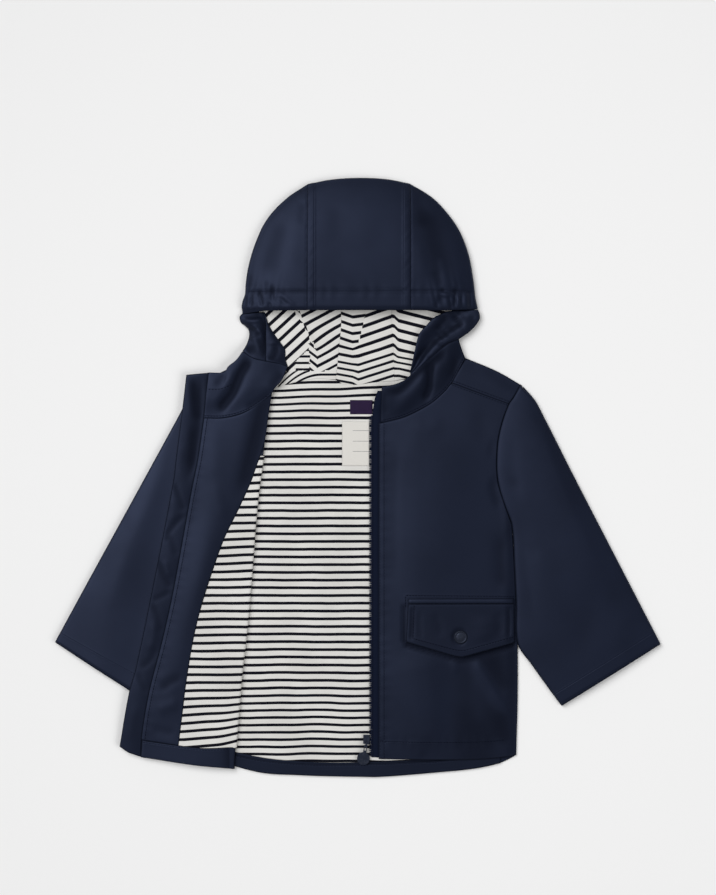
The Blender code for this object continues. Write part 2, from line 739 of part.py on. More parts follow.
# Opened front: outer cloth inside the fold, lining outside it
hidden_yoke = [Vector((-x, y)) for x, y in ((154, 77), (125, 84), (91, 86))]
far_low = even([p + Vector((2.2, 0)) for p in line("side", "armhole", mirror=True)], 12)
fold_line = line("fold")
hem_low = free([far_low[0], fold_line[0]], 3)
yoke_low = even(hidden_yoke, 3)
low_leaf = (far_low, hem_low, yoke_low, leaf_low)
high_leaf = (line("zip_line"), line("opened_hem"), line("opened_neck")[:], leaf_high)
high_leaf = (high_leaf[0], even(high_leaf[1], 7), even(high_leaf[2], 7), leaf_high)
folded("right_front", low_leaf, high_leaf, fold_line, own("right_front", "shell"), SHELL, FOLD_OUT)

knit_fold = [fold_line[0].lerp(fold_line[1], 0.68)] + [p for p in fold_line if -280 < p.y < 24]
knit_rows = len(knit_fold) - 1
far_knit = [Vector((-154, -280)), Vector((-154, -50)), Vector((-141, -20)), Vector((-139, 22))]
far_knit = even(far_knit, knit_rows)
knit_low_leaf = (far_knit, free([far_knit[0], knit_fold[0]], 3), free([far_knit[-1], knit_fold[-1]], 3), knit_low)
facing_edge = [p + Vector((0.5, 0)) for p in line("facing_edge")]
facing_edge = even([p for p in facing_edge if p.y <= knit_fold[-1].y + 1], knit_rows)
knit_hem = even([p for p in line("opened_band") if p.x > -188] + [knit_fold[0]], 5)
knit_top = free([facing_edge[-1], knit_fold[-1]], 5)
knit_high_leaf = (facing_edge, knit_hem, knit_top, knit_high)
folded(
    "right_front_lining", knit_low_leaf, knit_high_leaf, knit_fold,
    own("right_front_lining", "knit"), LINING, FOLD_OUT,
)

facing_in = even([p for p in line("facing_edge") + line("facing_top")[1:]], 14)
facing_sides = (
    even([p for p in line("zip_line") if p.y > -274.5] , 14),
    facing_in,
    free([(-226, -275), (-189, -280)], 7),
    line("opened_neck"),
)
panel("right_facing", facing_sides, on_leaf, SHELL, own("right_facing", "shell"))
band_sides = (
    free([(-227.5, -292.5), (-226, -275.4)], 1),
    free([(-129.5, -304.5), (-130.5, -282.4)], 1),
    line("opened_hem"),
    line("opened_band"),
)
panel("right_front_hem", band_sides, on_leaf, SHELL, own("right_front_hem", "shell"), inset=0.3)
flap_sides = (
    line("flap_out"),
    line("zip_line", "collar_open_out"),
    free([(-250, -281.5), (-241, -287), (-227.5, -291)], 4),
    free([(-180, 107.5), (-157, 107)], 4),
)
panel("wind_flap", flap_sides, flap_lift, SHELL, own("wind_flap", "shell"), inset=0.3)
hidden_yoke_sides = tuple(mirrored(side) for side in yoke_sides)
panel("right_yoke", hidden_yoke_sides, hidden_yoke_lift, SHELL, own("right_yoke", "shell"), inset=0.4)

# Collars
collar_open_sides = (
    line("collar_open_out"),
    line("collar_open_in"),
    line("opened_neck"),
    line("collar_open_top", "casing_end", "facing_end"),
)
panel("collar_right", collar_open_sides, collar_open_lift, SHELL, own("collar_right", "shell"), inset=0.35)
collar_closed_sides = (
    free([(26.6, 58), (26, 95)], 3),
    line("collar_back"),
    line("front_neck", "yoke_neck"),
    line("collar_roll", "casing_out"),
)
panel("collar_left", collar_closed_sides, collar_closed_lift, SHELL, own("collar_left", "shell"), inset=0.3)

# Casing down the two sides of the face opening
casing_closed_sides = (
    line("casing_in"),
    line("casing_out", "casing_tip"),
    free([(54.5, 112), (54.5, 106)], 4),
    even(line("casing_brim"), 4),
)
panel("casing_left", casing_closed_sides, casing_closed_lift, SHELL, own("casing_left", "shell"), inset=0.3)
casing_open_sides = (
    line("casing_open_out"),
    line("casing_crease"),
    even(line("casing_end"), 4),
    even(line("brim_open_end"), 4),
)
panel("casing_right", casing_open_sides, casing_open_lift, SHELL, own("casing_right", "shell"), inset=0.3)
facing_fold_sides = (
    line("casing_crease"),
    line("stripe_edge"),
    even(line("facing_end"), 3),
    free([(-99.5, 173.5), (-97.8, 173)], 3),
)
panel("casing_facing", facing_fold_sides, casing_facing_lift, SHELL, own("casing_facing", "shell"), inset=0.25)

# Hood panels
seam_low_open = [Vector(p) for p in ((-23.7, 98.3), (-20, 138), (-18.2, 169), (-26, 215), (-42, 268), (-53.5, 303))]
seam_low_closed = [Vector(p) for p in ((38.2, 98.3), (36.7, 138), (34.7, 169), (38, 215), (48, 268), (55.8, 303))]
crown_open = line("crown_open")
open_low = (
    through(seam_low_open, 10),
    free([(-23.7, 98.3), (-98, 98.3), (-108, 125), (-112, 148), (-119, 162), (-122.5, 172)], 7),
    free([(-53.5, 303), (-55, 307)], 7),
    hood_floor,
)
open_high = (
    free([(-53.5, 175), (-53.5, 303)], 10),
    free([(-53.5, 175), (-99.5, 174.8), (-122.5, 172)], 7),
    free([(-53.5, 303), (-55, 307)], 7),
    crown,
)
folded("hood_right", open_low, open_high, crown_open, own("hood_right", "shell"), SHELL, 2.9)
closed_low = (
    through(seam_low_closed, 10),
    free([(38.2, 98.3), (101.6, 98.3), (104.5, 118), (102.5, 140), (115, 158), (125, 177)], 7),
    free([(55.8, 303), (57.5, 307)], 7),
    hood_floor,
)
closed_high = (
    free([(54.7, 175), (55.8, 303)], 10),
    free([(54.7, 175), (93, 175.2), (125, 177)], 7),
    free([(55.8, 303), (57.5, 307)], 7),
    crown,
)
folded("hood_left", closed_low, closed_high, line("crown_closed"), own("hood_left", "shell"), SHELL, 2.9)
centre_low = (
    free([(-22.8, 98.3), (37.3, 98.3)], 8),
    through([Vector(p) + Vector((0.9, 0)) for p in seam_low_open[:-1]] + [Vector((-52.6, 308.5))], 8),
    through([Vector(p) - Vector((0.9, 0)) for p in seam_low_closed[:-1]] + [Vector((55.0, 308.5))], 8),
    hood_floor,
)
centre_high = (
    free([(-53.1, 175), (54.3, 175)], 8),
    free([(-53.1, 175), (-53.1, 303), (-52.6, 308.5)], 8),
    free([(54.3, 175), (55.3, 303), (55.0, 308.5)], 8),
    crown,
)
folded("hood_centre", centre_low, centre_high, line("crown_top"), own("hood_centre", "shell"), SHELL, 2.9)

# Hood lining
knit_open_sides = (
    line("knit_out_open"),
    line("knit_seam_open"),
    line("knit_neck_open"),
    free([(-88, 262), (-50, 287)], 5),
)
panel("hood_lining_right", knit_open_sides, knit_lift, LINING, own("hood_lining_right", "knit"))
knit_mid_sides = (
    line("knit_seam_open"),
    line("knit_seam_closed"),
    line("knit_neck_mid"),
    free([(-50, 287), (51, 287)], 5),
)
panel("hood_lining_centre", knit_mid_sides, knit_lift, LINING, own("hood_lining_centre", "knit"))
knit_closed_sides = (
    line("knit_seam_closed"),
    line("knit_out_closed"),
    line("knit_neck_closed"),
    free([(51, 287), (90, 262)], 3),
)
panel("hood_lining_left", knit_closed_sides, knit_lift, LINING, own("hood_lining_left", "knit"))

# Labels on the back lining
for piece, slot, (low_x, high_x, low_y, high_y, wall) in (
    ("woven_label", "woven", WOVEN_LABEL),
    ("name_label", "label", NAME_LABEL),
):
    bm = bmesh.new()
    box(bm, (low_x, low_y, OVER_KNIT), (high_x, high_y, OVER_KNIT + wall))
    add(piece, bm, own(piece, slot))

# Zip
tape_sides = (
    line("tape_out"),
    line("tape_in"),
    free([(14.8, -293), (24, -293)], 2),
    free([(20.5, 91), (25.6, 91)], 2),
)
panel("zip_tape", tape_sides, tape_lift, LINING, own("zip_tape", "tape"))
bm = bmesh.new()
half = CHAIN_WIDTH / 2
box(bm, (CHAIN_X - half, CHAIN_END_Y, OVER_KNIT), (CHAIN_X + half, CHAIN_TOP_Y, OVER_KNIT + CHAIN_WALL))
add("zip_chain", bm, own("zip_chain", "chain"))

bm = bmesh.new()
half = SLIDER_WIDTH / 2
slider_low = (SLIDER_X - half, SLIDER_TOP_Y - SLIDER_LENGTH, OVER_KNIT)
slider_high = (SLIDER_X + half, SLIDER_TOP_Y, OVER_KNIT + SLIDER_WALL)
box(bm, slider_low, slider_high)
slider = add("zip_slider", bm, own("zip_slider", "metal"))
rounded(slider, SLIDER_ROUND)
for side in (-1, 1):
    bm = bmesh.new()
    post_x = side * POST_APART / 2
    low = (post_x - POST_WALL / 2, -POST_LENGTH / 2, OVER_KNIT + SLIDER_WALL - 1.0)
    high = (post_x + POST_WALL / 2, POST_LENGTH / 2, PIN_Z + PIN_RADIUS + 0.5)
    box(bm, low, high)
    post = add("slider_post_%d" % (side + 2), bm, PIECE_SLOTS["zip_slider"])
    post.location = Vector((SLIDER_X, PIN_Y, 0)) * MM
    post.rotation_euler = (0, 0, -PULL_SWING)
    join(slider, post)
pin = cylinder(
    "slider_pin", (SLIDER_X, PIN_Y, PIN_Z), PIN_RADIUS, POST_APART + 0.6,
    (0, math.pi / 2, -PULL_SWING), PIECE_SLOTS["zip_slider"], 16,
)
join(slider, pin)

# Pull tab: an eye round the pin, a slotted neck and a round grip, lying towards the hem
bm = bmesh.new()
box(bm, (-NECK_WIDTH / 2, -PULL_REACH, -PULL_WALL / 2), (NECK_WIDTH / 2, -EYE_RADIUS - 1.2, PULL_WALL / 2))
pull = add("zip_pull_tab", bm, own("zip_pull_tab", "metal"))
grip = cylinder(
    "pull_grip", (0, -PULL_REACH, 0), PULL_RADIUS, PULL_WALL, (0, 0, 0), PIECE_SLOTS["zip_pull_tab"],
)
join(pull, grip)
eye = cylinder("pull_eye", (0, 0, 0), EYE_RADIUS, EYE_WIDTH, (0, math.pi / 2, 0), PIECE_SLOTS["zip_pull_tab"])
join(pull, eye)
bm = bmesh.new()
box(bm, (-EYE_WIDTH / 2, -EYE_RADIUS - 2.0, -0.55), (EYE_WIDTH / 2, -0.2, 0.55))
stem = add("pull_stem", bm, PIECE_SLOTS["zip_pull_tab"])
join(pull, stem)
hole = cylinder("eye_hole", (0, 0, 0), EYE_HOLE, EYE_WIDTH + 2, (0, math.pi / 2, 0), PIECE_SLOTS["zip_pull_tab"])
cut(pull, hole)
bm = bmesh.new()
slot_from = -EYE_RADIUS - 3.0
box(bm, (-NECK_SLOT / 2, slot_from - 4.2, -2), (NECK_SLOT / 2, slot_from, 2))
slot = add("neck_slot", bm, PIECE_SLOTS["zip_pull_tab"])
cut(pull, slot)
for tool in (grip, eye, stem, hole, slot):
    tool.parent = pull
pull.location = Vector((SLIDER_X, PIN_Y, PIN_Z)) * MM
pull.rotation_euler = (PULL_TILT, 0, -PULL_SWING)
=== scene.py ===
# %% [markdown]
# # A child's raincoat, laid open on a table
#
# This lesson dresses a packed raincoat part. The part already has every panel in its right place as a
# plain solid. Here each sewn panel gets a thin, soft shell with creases, stitching and its own finish.
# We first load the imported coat, because every new piece takes its place from it.

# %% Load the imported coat
import math

import bmesh
import bpy
from mathutils import Matrix, Vector
from mathutils.bvhtree import BVHTree
from mathutils.kdtree import KDTree


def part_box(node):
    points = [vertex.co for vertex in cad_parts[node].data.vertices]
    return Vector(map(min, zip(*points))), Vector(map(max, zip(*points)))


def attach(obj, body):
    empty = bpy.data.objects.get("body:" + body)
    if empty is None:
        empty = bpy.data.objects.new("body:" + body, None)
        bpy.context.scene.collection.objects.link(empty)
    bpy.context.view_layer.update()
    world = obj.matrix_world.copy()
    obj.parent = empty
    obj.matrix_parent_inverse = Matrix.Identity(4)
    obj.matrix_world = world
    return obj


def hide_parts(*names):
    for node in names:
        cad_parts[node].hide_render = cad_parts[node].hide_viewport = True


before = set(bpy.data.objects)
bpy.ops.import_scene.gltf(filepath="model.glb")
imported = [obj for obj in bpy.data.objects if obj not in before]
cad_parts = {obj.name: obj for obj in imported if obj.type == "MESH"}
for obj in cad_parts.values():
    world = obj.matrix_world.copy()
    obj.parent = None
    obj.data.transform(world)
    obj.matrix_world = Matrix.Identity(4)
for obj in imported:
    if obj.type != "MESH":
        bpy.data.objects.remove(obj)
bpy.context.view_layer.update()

# %% [markdown]
# ## Camera
#
# A flat-lay is looked at from straight above. A long lens, high up, keeps the edges of the cloth from
# leaning outwards, so the cut of the coat reads true.

# %% Camera
lens = bpy.data.cameras.new("camera")
lens.lens = 85
lens.sensor_width = 36
camera = bpy.data.objects.new("camera", lens)
camera.location = (-0.0003, 0.0317, 2.2195)
bpy.context.scene.collection.objects.link(camera)
bpy.context.scene.camera = camera
print("camera height in m:", camera.location.z)

# %% [markdown]
# ## Table, light and plain surroundings
#
# The table is a matt, nearly white board. One wide soft light stands at the upper left and a weaker one
# opposite, so that folds shade gently and the coat's shadow falls softly to the lower right. Dark coated
# cloth shows mostly what it reflects, so the surroundings stay plain and pale.

# %% Table, light and surroundings
bpy.context.scene.view_settings.view_transform = "Standard"


def soft_light(name, at, aim, size, power, glossy=True):
    lamp = bpy.data.lights.new(name, "AREA")
    lamp.shape = "DISK"
    lamp.size = size
    lamp.energy = power
    made = bpy.data.objects.new(name, lamp)
    made.location = at
    made.rotation_euler = (Vector(aim) - Vector(at)).to_track_quat("-Z", "Y").to_euler()
    made.visible_glossy = glossy
    bpy.context.scene.collection.objects.link(made)


soft_light("window", (-1.35, 1.0, 2.6), (-0.2, 0.1, 0.0), 2.7, 73)
soft_light("fill", (2.3, -1.2, 2.4), (0.1, -0.1, 0.0), 2.4, 45, glossy=False)

surroundings = bpy.data.worlds.new("plain room")
surroundings.use_nodes = True
surroundings.node_tree.nodes["Background"].inputs["Color"].default_value = (1.0, 1.0, 1.0, 1.0)
surroundings.node_tree.nodes["Background"].inputs["Strength"].default_value = 0.20
bpy.context.scene.world = surroundings

bm = bmesh.new()
bmesh.ops.create_grid(bm, x_segments=1, y_segments=1, size=4.0)
mesh = bpy.data.meshes.new("table")
bm.to_mesh(mesh)
bm.free()
table = bpy.data.objects.new("table", mesh)
bpy.context.scene.collection.objects.link(table)
print("lights and table are set")

# %% [markdown]
# ## Smooth lines
#
# A cutter draws a pattern as smooth lines through a few marks. `through` draws such a line, and
# `even` steps along it. All drawing is in millimetres, and the finished pieces are scaled to metres.

# %% Smooth lines
MM = 0.001
MIRROR_X = 1.8  # the coat's middle line


def smooth(value):
    held = min(1.0, max(0.0, value))
    return held * held * (3.0 - 2.0 * held)


def between(value, low, high):
    return smooth((value - low) / (high - low))


def through(points, per=16):
    """A smooth line through the points, with a fixed number of steps between two of them."""
    dense = []
    last = len(points) - 1
    for i in range(last):
        before = Vector(points[max(i - 1, 0)])
        start = Vector(points[i])
        stop = Vector(points[i + 1])
        after = Vector(points[min(i + 2, last)])
        span = (stop - start).length
        lead_in = (stop - before) * (span / ((start - before).length + span))
        lead_out = (after - start) * (span / ((after - stop).length + span))
        for k in range(per):
            t = k / per
            a = 2 * t**3 - 3 * t**2 + 1
            b = t**3 - 2 * t**2 + t
            c = -2 * t**3 + 3 * t**2
            d = t**3 - t**2
            dense.append(start * a + lead_in * b + stop * c + lead_out * d)
    dense.append(Vector(points[last]))
    return dense


def length_of(points):
    return sum((b - a).length for a, b in zip(points, points[1:]))


def at_shares(points, shares):
    """Points at the given shares of the line's length."""
    lengths = [0.0]
    for a, b in zip(points, points[1:]):
        lengths.append(lengths[-1] + (b - a).length)
    made = []
    k = 0
    for share in shares:
        wanted = lengths[-1] * share
        while k < len(points) - 2 and lengths[k + 1] < wanted:
            k += 1
        part = (wanted - lengths[k]) / max(lengths[k + 1] - lengths[k], 1e-9)
        made.append(points[k].lerp(points[k + 1], min(1.0, max(0.0, part))))
    return made


def even(points, steps):
    return at_shares([Vector(p) for p in points], [i / steps for i in range(steps + 1)])


def mirrored(points):
    return [Vector((2 * MIRROR_X - p[0], p[1])) for p in points]


# %% [markdown]
# ## The pattern
#
# These are the seam lines and edges of the coat, as marks in millimetres. Left and right are the
# wearer's, and the wearer's left is +X. Two pieces that are sewn together share one line, so they meet.
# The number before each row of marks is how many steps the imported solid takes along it.

# %% The pattern
LINES = {
    "front_neck": (6, [(27, 58), (48, 63.5), (66, 72), (79, 80), (91, 91), (98, 99.5)]),
    "yoke_neck": (3, [(98, 99.5), (106, 114), (112, 125.5)]),
    "yoke_seam": (4, [(98, 99.5), (126, 89), (157.5, 77.5)]),
    "shoulder": (4, [(112, 125.5), (145.5, 111.5), (170, 97.5)]),
    "yoke_arm": (3, [(157.5, 77.5), (163, 85.5), (170, 97.5)]),
    "armhole": (7, [(161, -50), (153, -28), (145.5, -1.5), (145.5, 34.5), (150.5, 58.5), (157.5, 77.5)]),
    "side": (6, [(165.5, -291), (167, -230), (167, -176), (165, -118), (163, -81), (161, -50)]),
    "front_hem": (11, [(21.5, -294.5), (88, -295.5), (130, -295), (165.5, -291)]),
    "sleeve_out": (16, [(173.5, 95.2), (182, 87.5), (228, -2), (274, -91), (317, -174)]),
    "sleeve_in": (3, [(167.2, -174), (186, -202), (213, -239)]),
    "cuff": (4, [(317, -174), (213, -239)]),
    "sleeve_out_open": (16, [(-170, 95.2), (-178, 84), (-184, 73), (-228, -7.5), (-273, -89.5), (-318, -172)]),
    "sleeve_in_open": (3, [(-163.6, -174), (-182, -202), (-211, -241.5)]),
    "cuff_open": (4, [(-318, -172), (-211, -241.5)]),
    "fold": (12, [
        (-128.5, -305), (-124.5, -246), (-121.5, -209), (-116, -162), (-110.5, -98),
        (-106.5, -45), (-102, -2.5), (-97.5, 28), (-95.5, 45), (-93.5, 62), (-90.5, 88),
    ]),
    "zip_line": (12, [
        (-227.5, -292.5), (-227, -274), (-219, -225.5), (-205, -170.5), (-193.5, -118.5),
        (-174, -11.5), (-168, 18.5), (-161.5, 62.5),
    ]),
    "facing_edge": (12, [
        (-188.5, -280), (-184.5, -248), (-180.5, -215.5), (-173.5, -172.5), (-165.5, -138),
        (-154, -101), (-140, -62.5), (-126, -34), (-112, -3), (-103, 22.5),
    ]),
    "facing_top": (4, [(-103, 22.5), (-97.5, 40), (-94.5, 62), (-90.5, 88)]),
    "opened_hem": (9, [(-227.5, -292.5), (-171, -301), (-128.5, -305)]),
    "opened_band": (9, [(-226, -275), (-189, -280), (-161, -283), (-129.5, -282)]),
    "opened_neck": (7, [(-161.5, 62.5), (-141, 62.5), (-119.5, 68), (-97.5, 82), (-90.5, 88)]),
    "flap_out": (15, [
        (-250, -281.5), (-240, -225), (-233, -200), (-213, -104), (-193.5, -3), (-191, 18.5),
        (-184, 73), (-180, 107.5),
    ]),
    "collar_open_out": (3, [(-161.5, 62.5), (-159, 88), (-156.5, 110)]),
    "collar_open_top": (4, [(-156.5, 110), (-140, 110.5), (-136.5, 116), (-128, 123), (-121, 132.5)]),
    "casing_end": (2, [(-121, 132.5), (-110.5, 125.5), (-97, 122)]),
    "facing_end": (1, [(-97, 122), (-85, 120), (-74, 116.5)]),
    "collar_open_in": (3, [(-90.5, 88), (-88, 93), (-80.5, 101.5), (-74, 116.5)]),
    "casing_open_out": (7, [
        (-121, 132.5), (-117.5, 138.5), (-114.5, 147.5), (-115, 155), (-119, 159.5),
        (-122.5, 162), (-124.5, 168), (-122.5, 171.5),
    ]),
    "casing_crease": (7, [(-97, 122), (-97, 145), (-97, 162), (-99.5, 173.5)]),
    "brim_open_end": (3, [(-122.5, 171.5), (-112, 172.5), (-99.5, 173.5)]),
    "stripe_edge": (7, [
        (-74, 116.5), (-76.5, 125), (-77, 134.5), (-82.5, 143), (-88, 150.5), (-94, 161), (-97.8, 173),
    ]),
    "crown_open": (10, [
        (-122.5, 172), (-121.5, 183), (-118.5, 192), (-117.5, 205), (-114.5, 223), (-107.5, 246),
        (-95.5, 271), (-75, 293), (-53.35, 308.2),
    ]),
    "crown_top": (8, [(-53.25, 308.3), (-25, 312.6), (1, 314), (28, 312.8), (54.5, 308.5)]),
    "crown_closed": (10, [
        (125, 177), (122.5, 188), (121.5, 197), (119.8, 210), (115.5, 233), (107.5, 255),
        (96.5, 273), (78.5, 293), (54.6, 308.4),
    ]),
    "knit_seam_open": (8, [(-23.5, 102.5), (-20, 138), (-18, 169), (-24, 210), (-38, 255), (-50, 287)]),
    "knit_seam_closed": (8, [(38, 101), (36.5, 138), (34.5, 169), (37, 210), (44, 255), (51, 287)]),
    "knit_neck_open": (5, [(-92, 93.5), (-64.5, 100.5), (-42, 104), (-23.5, 102.5)]),
    "knit_neck_mid": (5, [(-23.5, 102.5), (-16, 98.5), (-2, 97.5), (16.5, 100), (38, 101)]),
    "knit_neck_closed": (3, [(38, 101), (48, 103.5), (60, 105)]),
    "knit_out_open": (8, [
        (-92, 93.5), (-81, 118), (-84, 134), (-94, 150), (-104, 173), (-108, 205), (-102, 238), (-88, 262),
    ]),
    "knit_out_closed": (8, [
        (60, 105), (64, 127), (69, 147), (82, 162), (97, 174), (108, 205), (102, 238), (90, 262),
    ]),
    "casing_in": (9, [
        (54.5, 112), (58, 127.5), (60.5, 139.5), (64, 151), (70, 158), (79, 167.5), (92.5, 174.2),
    ]),
    "casing_out": (6, [(54.5, 106), (66, 115), (79, 127.5), (93, 139.5), (105, 145)]),
    "casing_tip": (3, [(105, 145), (116, 152.5), (123.5, 160.5), (127.3, 168), (125.5, 176)]),
    "casing_brim": (3, [(92.5, 174.2), (108, 175), (125.5, 176)]),
    "collar_roll": (3, [(26, 95), (38, 97), (48, 101), (54.5, 106)]),
    "collar_back": (3, [(112, 125.5), (109, 132.5), (106, 141), (105, 145)]),
    "back_edge": (16, [
        (-161.9, -291), (-102, -309.3), (-60, -312), (-41, -312.8), (0, -313.6), (23, -313.7),
        (74, -309.8), (122.5, -305), (149, -299.3), (165.5, -291),
    ]),
    "band_low": (16, [
        (-152, -296), (-102, -309.3), (-60, -312), (-41, -312.8), (0, -313.6), (23, -313.7),
        (74, -309.8), (122.5, -305), (149, -299.3),
    ]),
    "band_top": (16, [
        (-152, -284), (-129, -290.5), (-93.5, -297), (-41, -300.5), (11, -300), (60, -298),
        (88, -296.5), (125, -291), (150, -284),
    ]),
    "knit_side": (6, [(151, -282), (151, -60), (141, -25), (140, 35), (143, 58), (118, 90)]),
}


def line(*names, mirror=False):
    """Joined named lines; a name starting with - runs backwards."""
    made = []
    for name in names:
        part = through(LINES[name.lstrip("-")][1])
        if name.startswith("-"):
            part.reverse()
        made += part if not made else part[1:]
    return mirrored(made) if mirror else made


def straight(*points):
    return [Vector(p) for p in points]


print("pattern lines:", len(LINES))

# %% [markdown]
# ## Chalk lines and soft folds
#
# A crease in laid cloth is a long, low ridge or trough that starts and ends softly, and is steeper on one
# side. Each one is listed as a chalk line along it, its height in millimetres, and how far it
# spreads to the left and to the right of the line. A chalk line can also say how far any spot is from
# it, which gives us stitched bands, pressed seams and gathers.

# %% Chalk lines and soft folds
FAR = 20.0


class ChalkLine:
    """A line drawn on the cloth that knows how far away, and how far along, a spot is."""

    def __init__(self, points, smoothed=True):
        dense = through(points) if smoothed else [Vector(p) for p in points]
        self.length = length_of(dense)
        self.steps = max(2, round(self.length / 1.5))
        self.points = even(dense, self.steps)
        self.tree = KDTree(len(self.points))
        for i, p in enumerate(self.points):
            self.tree.insert((p.x, p.y, 0.0), i)
        self.tree.balance()

    def near(self, x, y):
        """Distance in mm (above 0 to the left of the line) and the share of the length."""
        _, i, _ = self.tree.find((x, y, 0.0))
        a = self.points[max(i - 1, 0)]
        b = self.points[min(i + 1, self.steps)]
        along = (b - a).normalized()
        off = Vector((x, y)) - self.points[i]
        ahead = off.dot(along)
        aside = along.x * off.y - along.y * off.x
        if (i == 0 and ahead < 0) or (i == self.steps and ahead > 0):
            return math.copysign(off.length, aside if aside else 1.0), float(i > 0)
        return aside, min(1.0, max(0.0, (i + ahead / max(self.length / self.steps, 1e-6)) / self.steps))


def fold(points, height, left, right, fade=0.35):
    return ChalkLine(points), height, left, right, fade


def folds_at(folds, x, y):
    """The height that a set of folds adds at a spot."""
    total = 0.0
    for chalk, height, left, right, fade in folds:
        aside, share = chalk.near(x, y)
        width = left if aside > 0 else right
        if abs(aside) < 3 * width:
            soft = smooth(share / fade) * smooth((1 - share) / fade)
            total += height * soft * math.exp(-((aside / width) ** 2))
    return total


def uneven_wave(along, spacing):
    """A wave whose crests aren't evenly spaced, from -1 to 1."""
    turn = 2 * math.pi * along / spacing
    return math.sin(turn + 1.4 * math.sin(0.31 * turn + 0.7) + 0.8 * math.sin(0.13 * turn))


def puckers(chalk, x, y, height, spacing, width):
    """The small ripples that a row of stitching pulls into coated cloth."""
    aside, share = chalk.near(x, y)
    if abs(aside) > 3 * width:
        return 0.0
    return height * uneven_wave(share * chalk.length, spacing) * math.exp(-((aside / width) ** 2))


def stitch_at(rows, x, y):
    """Distance to the nearest row of stitches; its sign changes only across a row."""
    nearest = FAR
    side = 1.0
    for chalk in rows:
        aside = chalk.near(x, y)[0]
        side *= math.copysign(1.0, aside)
        nearest = min(nearest, abs(aside))
    return side * nearest


# %% [markdown]
# ## Sewing a piece
#
# A flat piece of cloth is a square net pulled into the outline of its four sides, lifted to its height,
# and given its wall by a Solidify modifier. The net is tighter near the border, so that the edge of the
# cloth can turn down in a narrow, soft roll. Three values are kept at each corner of the net: how far it
# is from the nearest row of stitching, how far from the edge, and how deep in a crease. The finishes use
# them for pressed stitching with painted shade in its groove, for an edge that is rubbed paler and given a
# painted highlight, for a painted shaded rim, and for painted shade in creases. A UV map in metres carries
# the knit's stripes, and a stripe is cut cleanly where a pleat hides a part of it.

# %% Nets of cloth
CELL = 3.0
COATED = 0.9  # wall of the coated cloth
KNITTED = 0.7  # wall of the striped knit
INSET = -0.15  # a piece reaches this far over its seam line, so that no light shows between
# The darkening of creases is painted shade, and it grows with a trough's depth.
CREASE_DEPTH = 1.8  # a trough this deep is as dark as creases get
tops = {}


def spread(length, cell):
    """Shares along a side, tight near both ends."""
    if length < 9:
        steps = max(4, round(length / min(cell, 1.2)))
        return [i / steps for i in range(steps + 1)]
    first = 0.8 / length
    second = 2.4 / length
    steps = max(2, round((length - 4.8) / cell))
    inner = [second + (1 - 2 * second) * i / steps for i in range(steps + 1)]
    return [0.0, first] + inner + [1 - first, 1.0]


def pinned(points, first, last):
    count = len(points) - 1
    off_first = first - points[0]
    off_last = last - points[count]
    return [p + off_first * (1 - i / count) + off_last * (i / count) for i, p in enumerate(points)]


def patch(west, east, south, north, across, along):
    """Fill four sides with a net; across and along are the shares of its columns and rows."""
    return filled(at_shares(west, along), at_shares(east, along), south, north, across, along)


def filled(west, east, south, north, across, along):
    """A net whose west and east points are fixed already."""
    south = pinned(at_shares(south, across), west[0], east[0])
    north = pinned(at_shares(north, across), west[-1], east[-1])
    net = []
    for j, v in enumerate(along):
        row = []
        for i, u in enumerate(across):
            sideways = west[j] * (1 - u) + east[j] * u
            lengthways = south[i] * (1 - v) + north[i] * v
            low = south[0] * (1 - u) + south[-1] * u
            high = north[0] * (1 - u) + north[-1] * u
            row.append(sideways + lengthways - low * (1 - v) - high * v)
        net.append(row)
    return net


def net_of(cols, rows, place):
    """A square net whose corners go where place(i, j) says; it returns the net and its corners."""
    bm = bmesh.new()
    bmesh.ops.create_grid(bm, x_segments=cols, y_segments=rows, size=0.5)
    corners = {}
    for vert in bm.verts:
        i = round((vert.co.x + 0.5) * cols)
        j = round((vert.co.y + 0.5) * rows)
        corners[i, j] = vert
    for (i, j), vert in corners.items():
        vert.co = place(i, j)
    return bm, corners


def face_up(bm):
    """Turn the net over if its highest face looks down."""
    bm.normal_update()
    highest = max(bm.faces, key=lambda f: f.calc_center_median().z)
    if highest.normal.z < 0:
        bmesh.ops.reverse_faces(bm, faces=bm.faces[:])


# %% Finish a sewn piece
def sewn(name, bm, wall, offset, finish, marks=None, phase=None):
    """Give a net its wall, finish and place on the coat."""
    surface = sum(f.calc_area() for f in bm.faces)
    marked = [(marks or {}).get(vert, (FAR, FAR, 0.0)) for vert in bm.verts]
    bm.verts.index_update()
    layers = [bm.verts.layers.float.new(label) for label in ("stitch", "edge", "crease")]
    near_layer = bm.verts.layers.float.new("row_near")
    cloth_map = bm.loops.layers.uv.new("cloth")
    for vert in bm.verts:
        for layer, value in zip(layers, marked[vert.index]):
            vert[layer] = value
        vert[near_layer] = abs(vert[layers[0]])
    for face in bm.faces:
        face.smooth = True
        middle = face.calc_center_median()
        for loop in face.loops:
            x, y, _ = loop.vert.co
            loop[cloth_map].uv = (x * MM, phase(x, y, middle) * STRIPE_PITCH if phase else y * MM)
    bm.normal_update()
    tops[name] = BVHTree.FromBMesh(bm)
    bmesh.ops.scale(bm, verts=bm.verts[:], vec=(MM, MM, MM))
    mesh = bpy.data.meshes.new(name)
    bm.to_mesh(mesh)
    bm.free()
    made = bpy.data.objects.new(name + "_cloth", mesh)
    made.data.materials.append(finish)
    bpy.context.scene.collection.objects.link(made)
    shell = made.modifiers.new("wall", "SOLIDIFY")
    shell.thickness = wall * MM
    shell.offset = offset
    shell.use_rim = True
    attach(made, "coat")
    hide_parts(name)
    return made


ROLL = 0.3


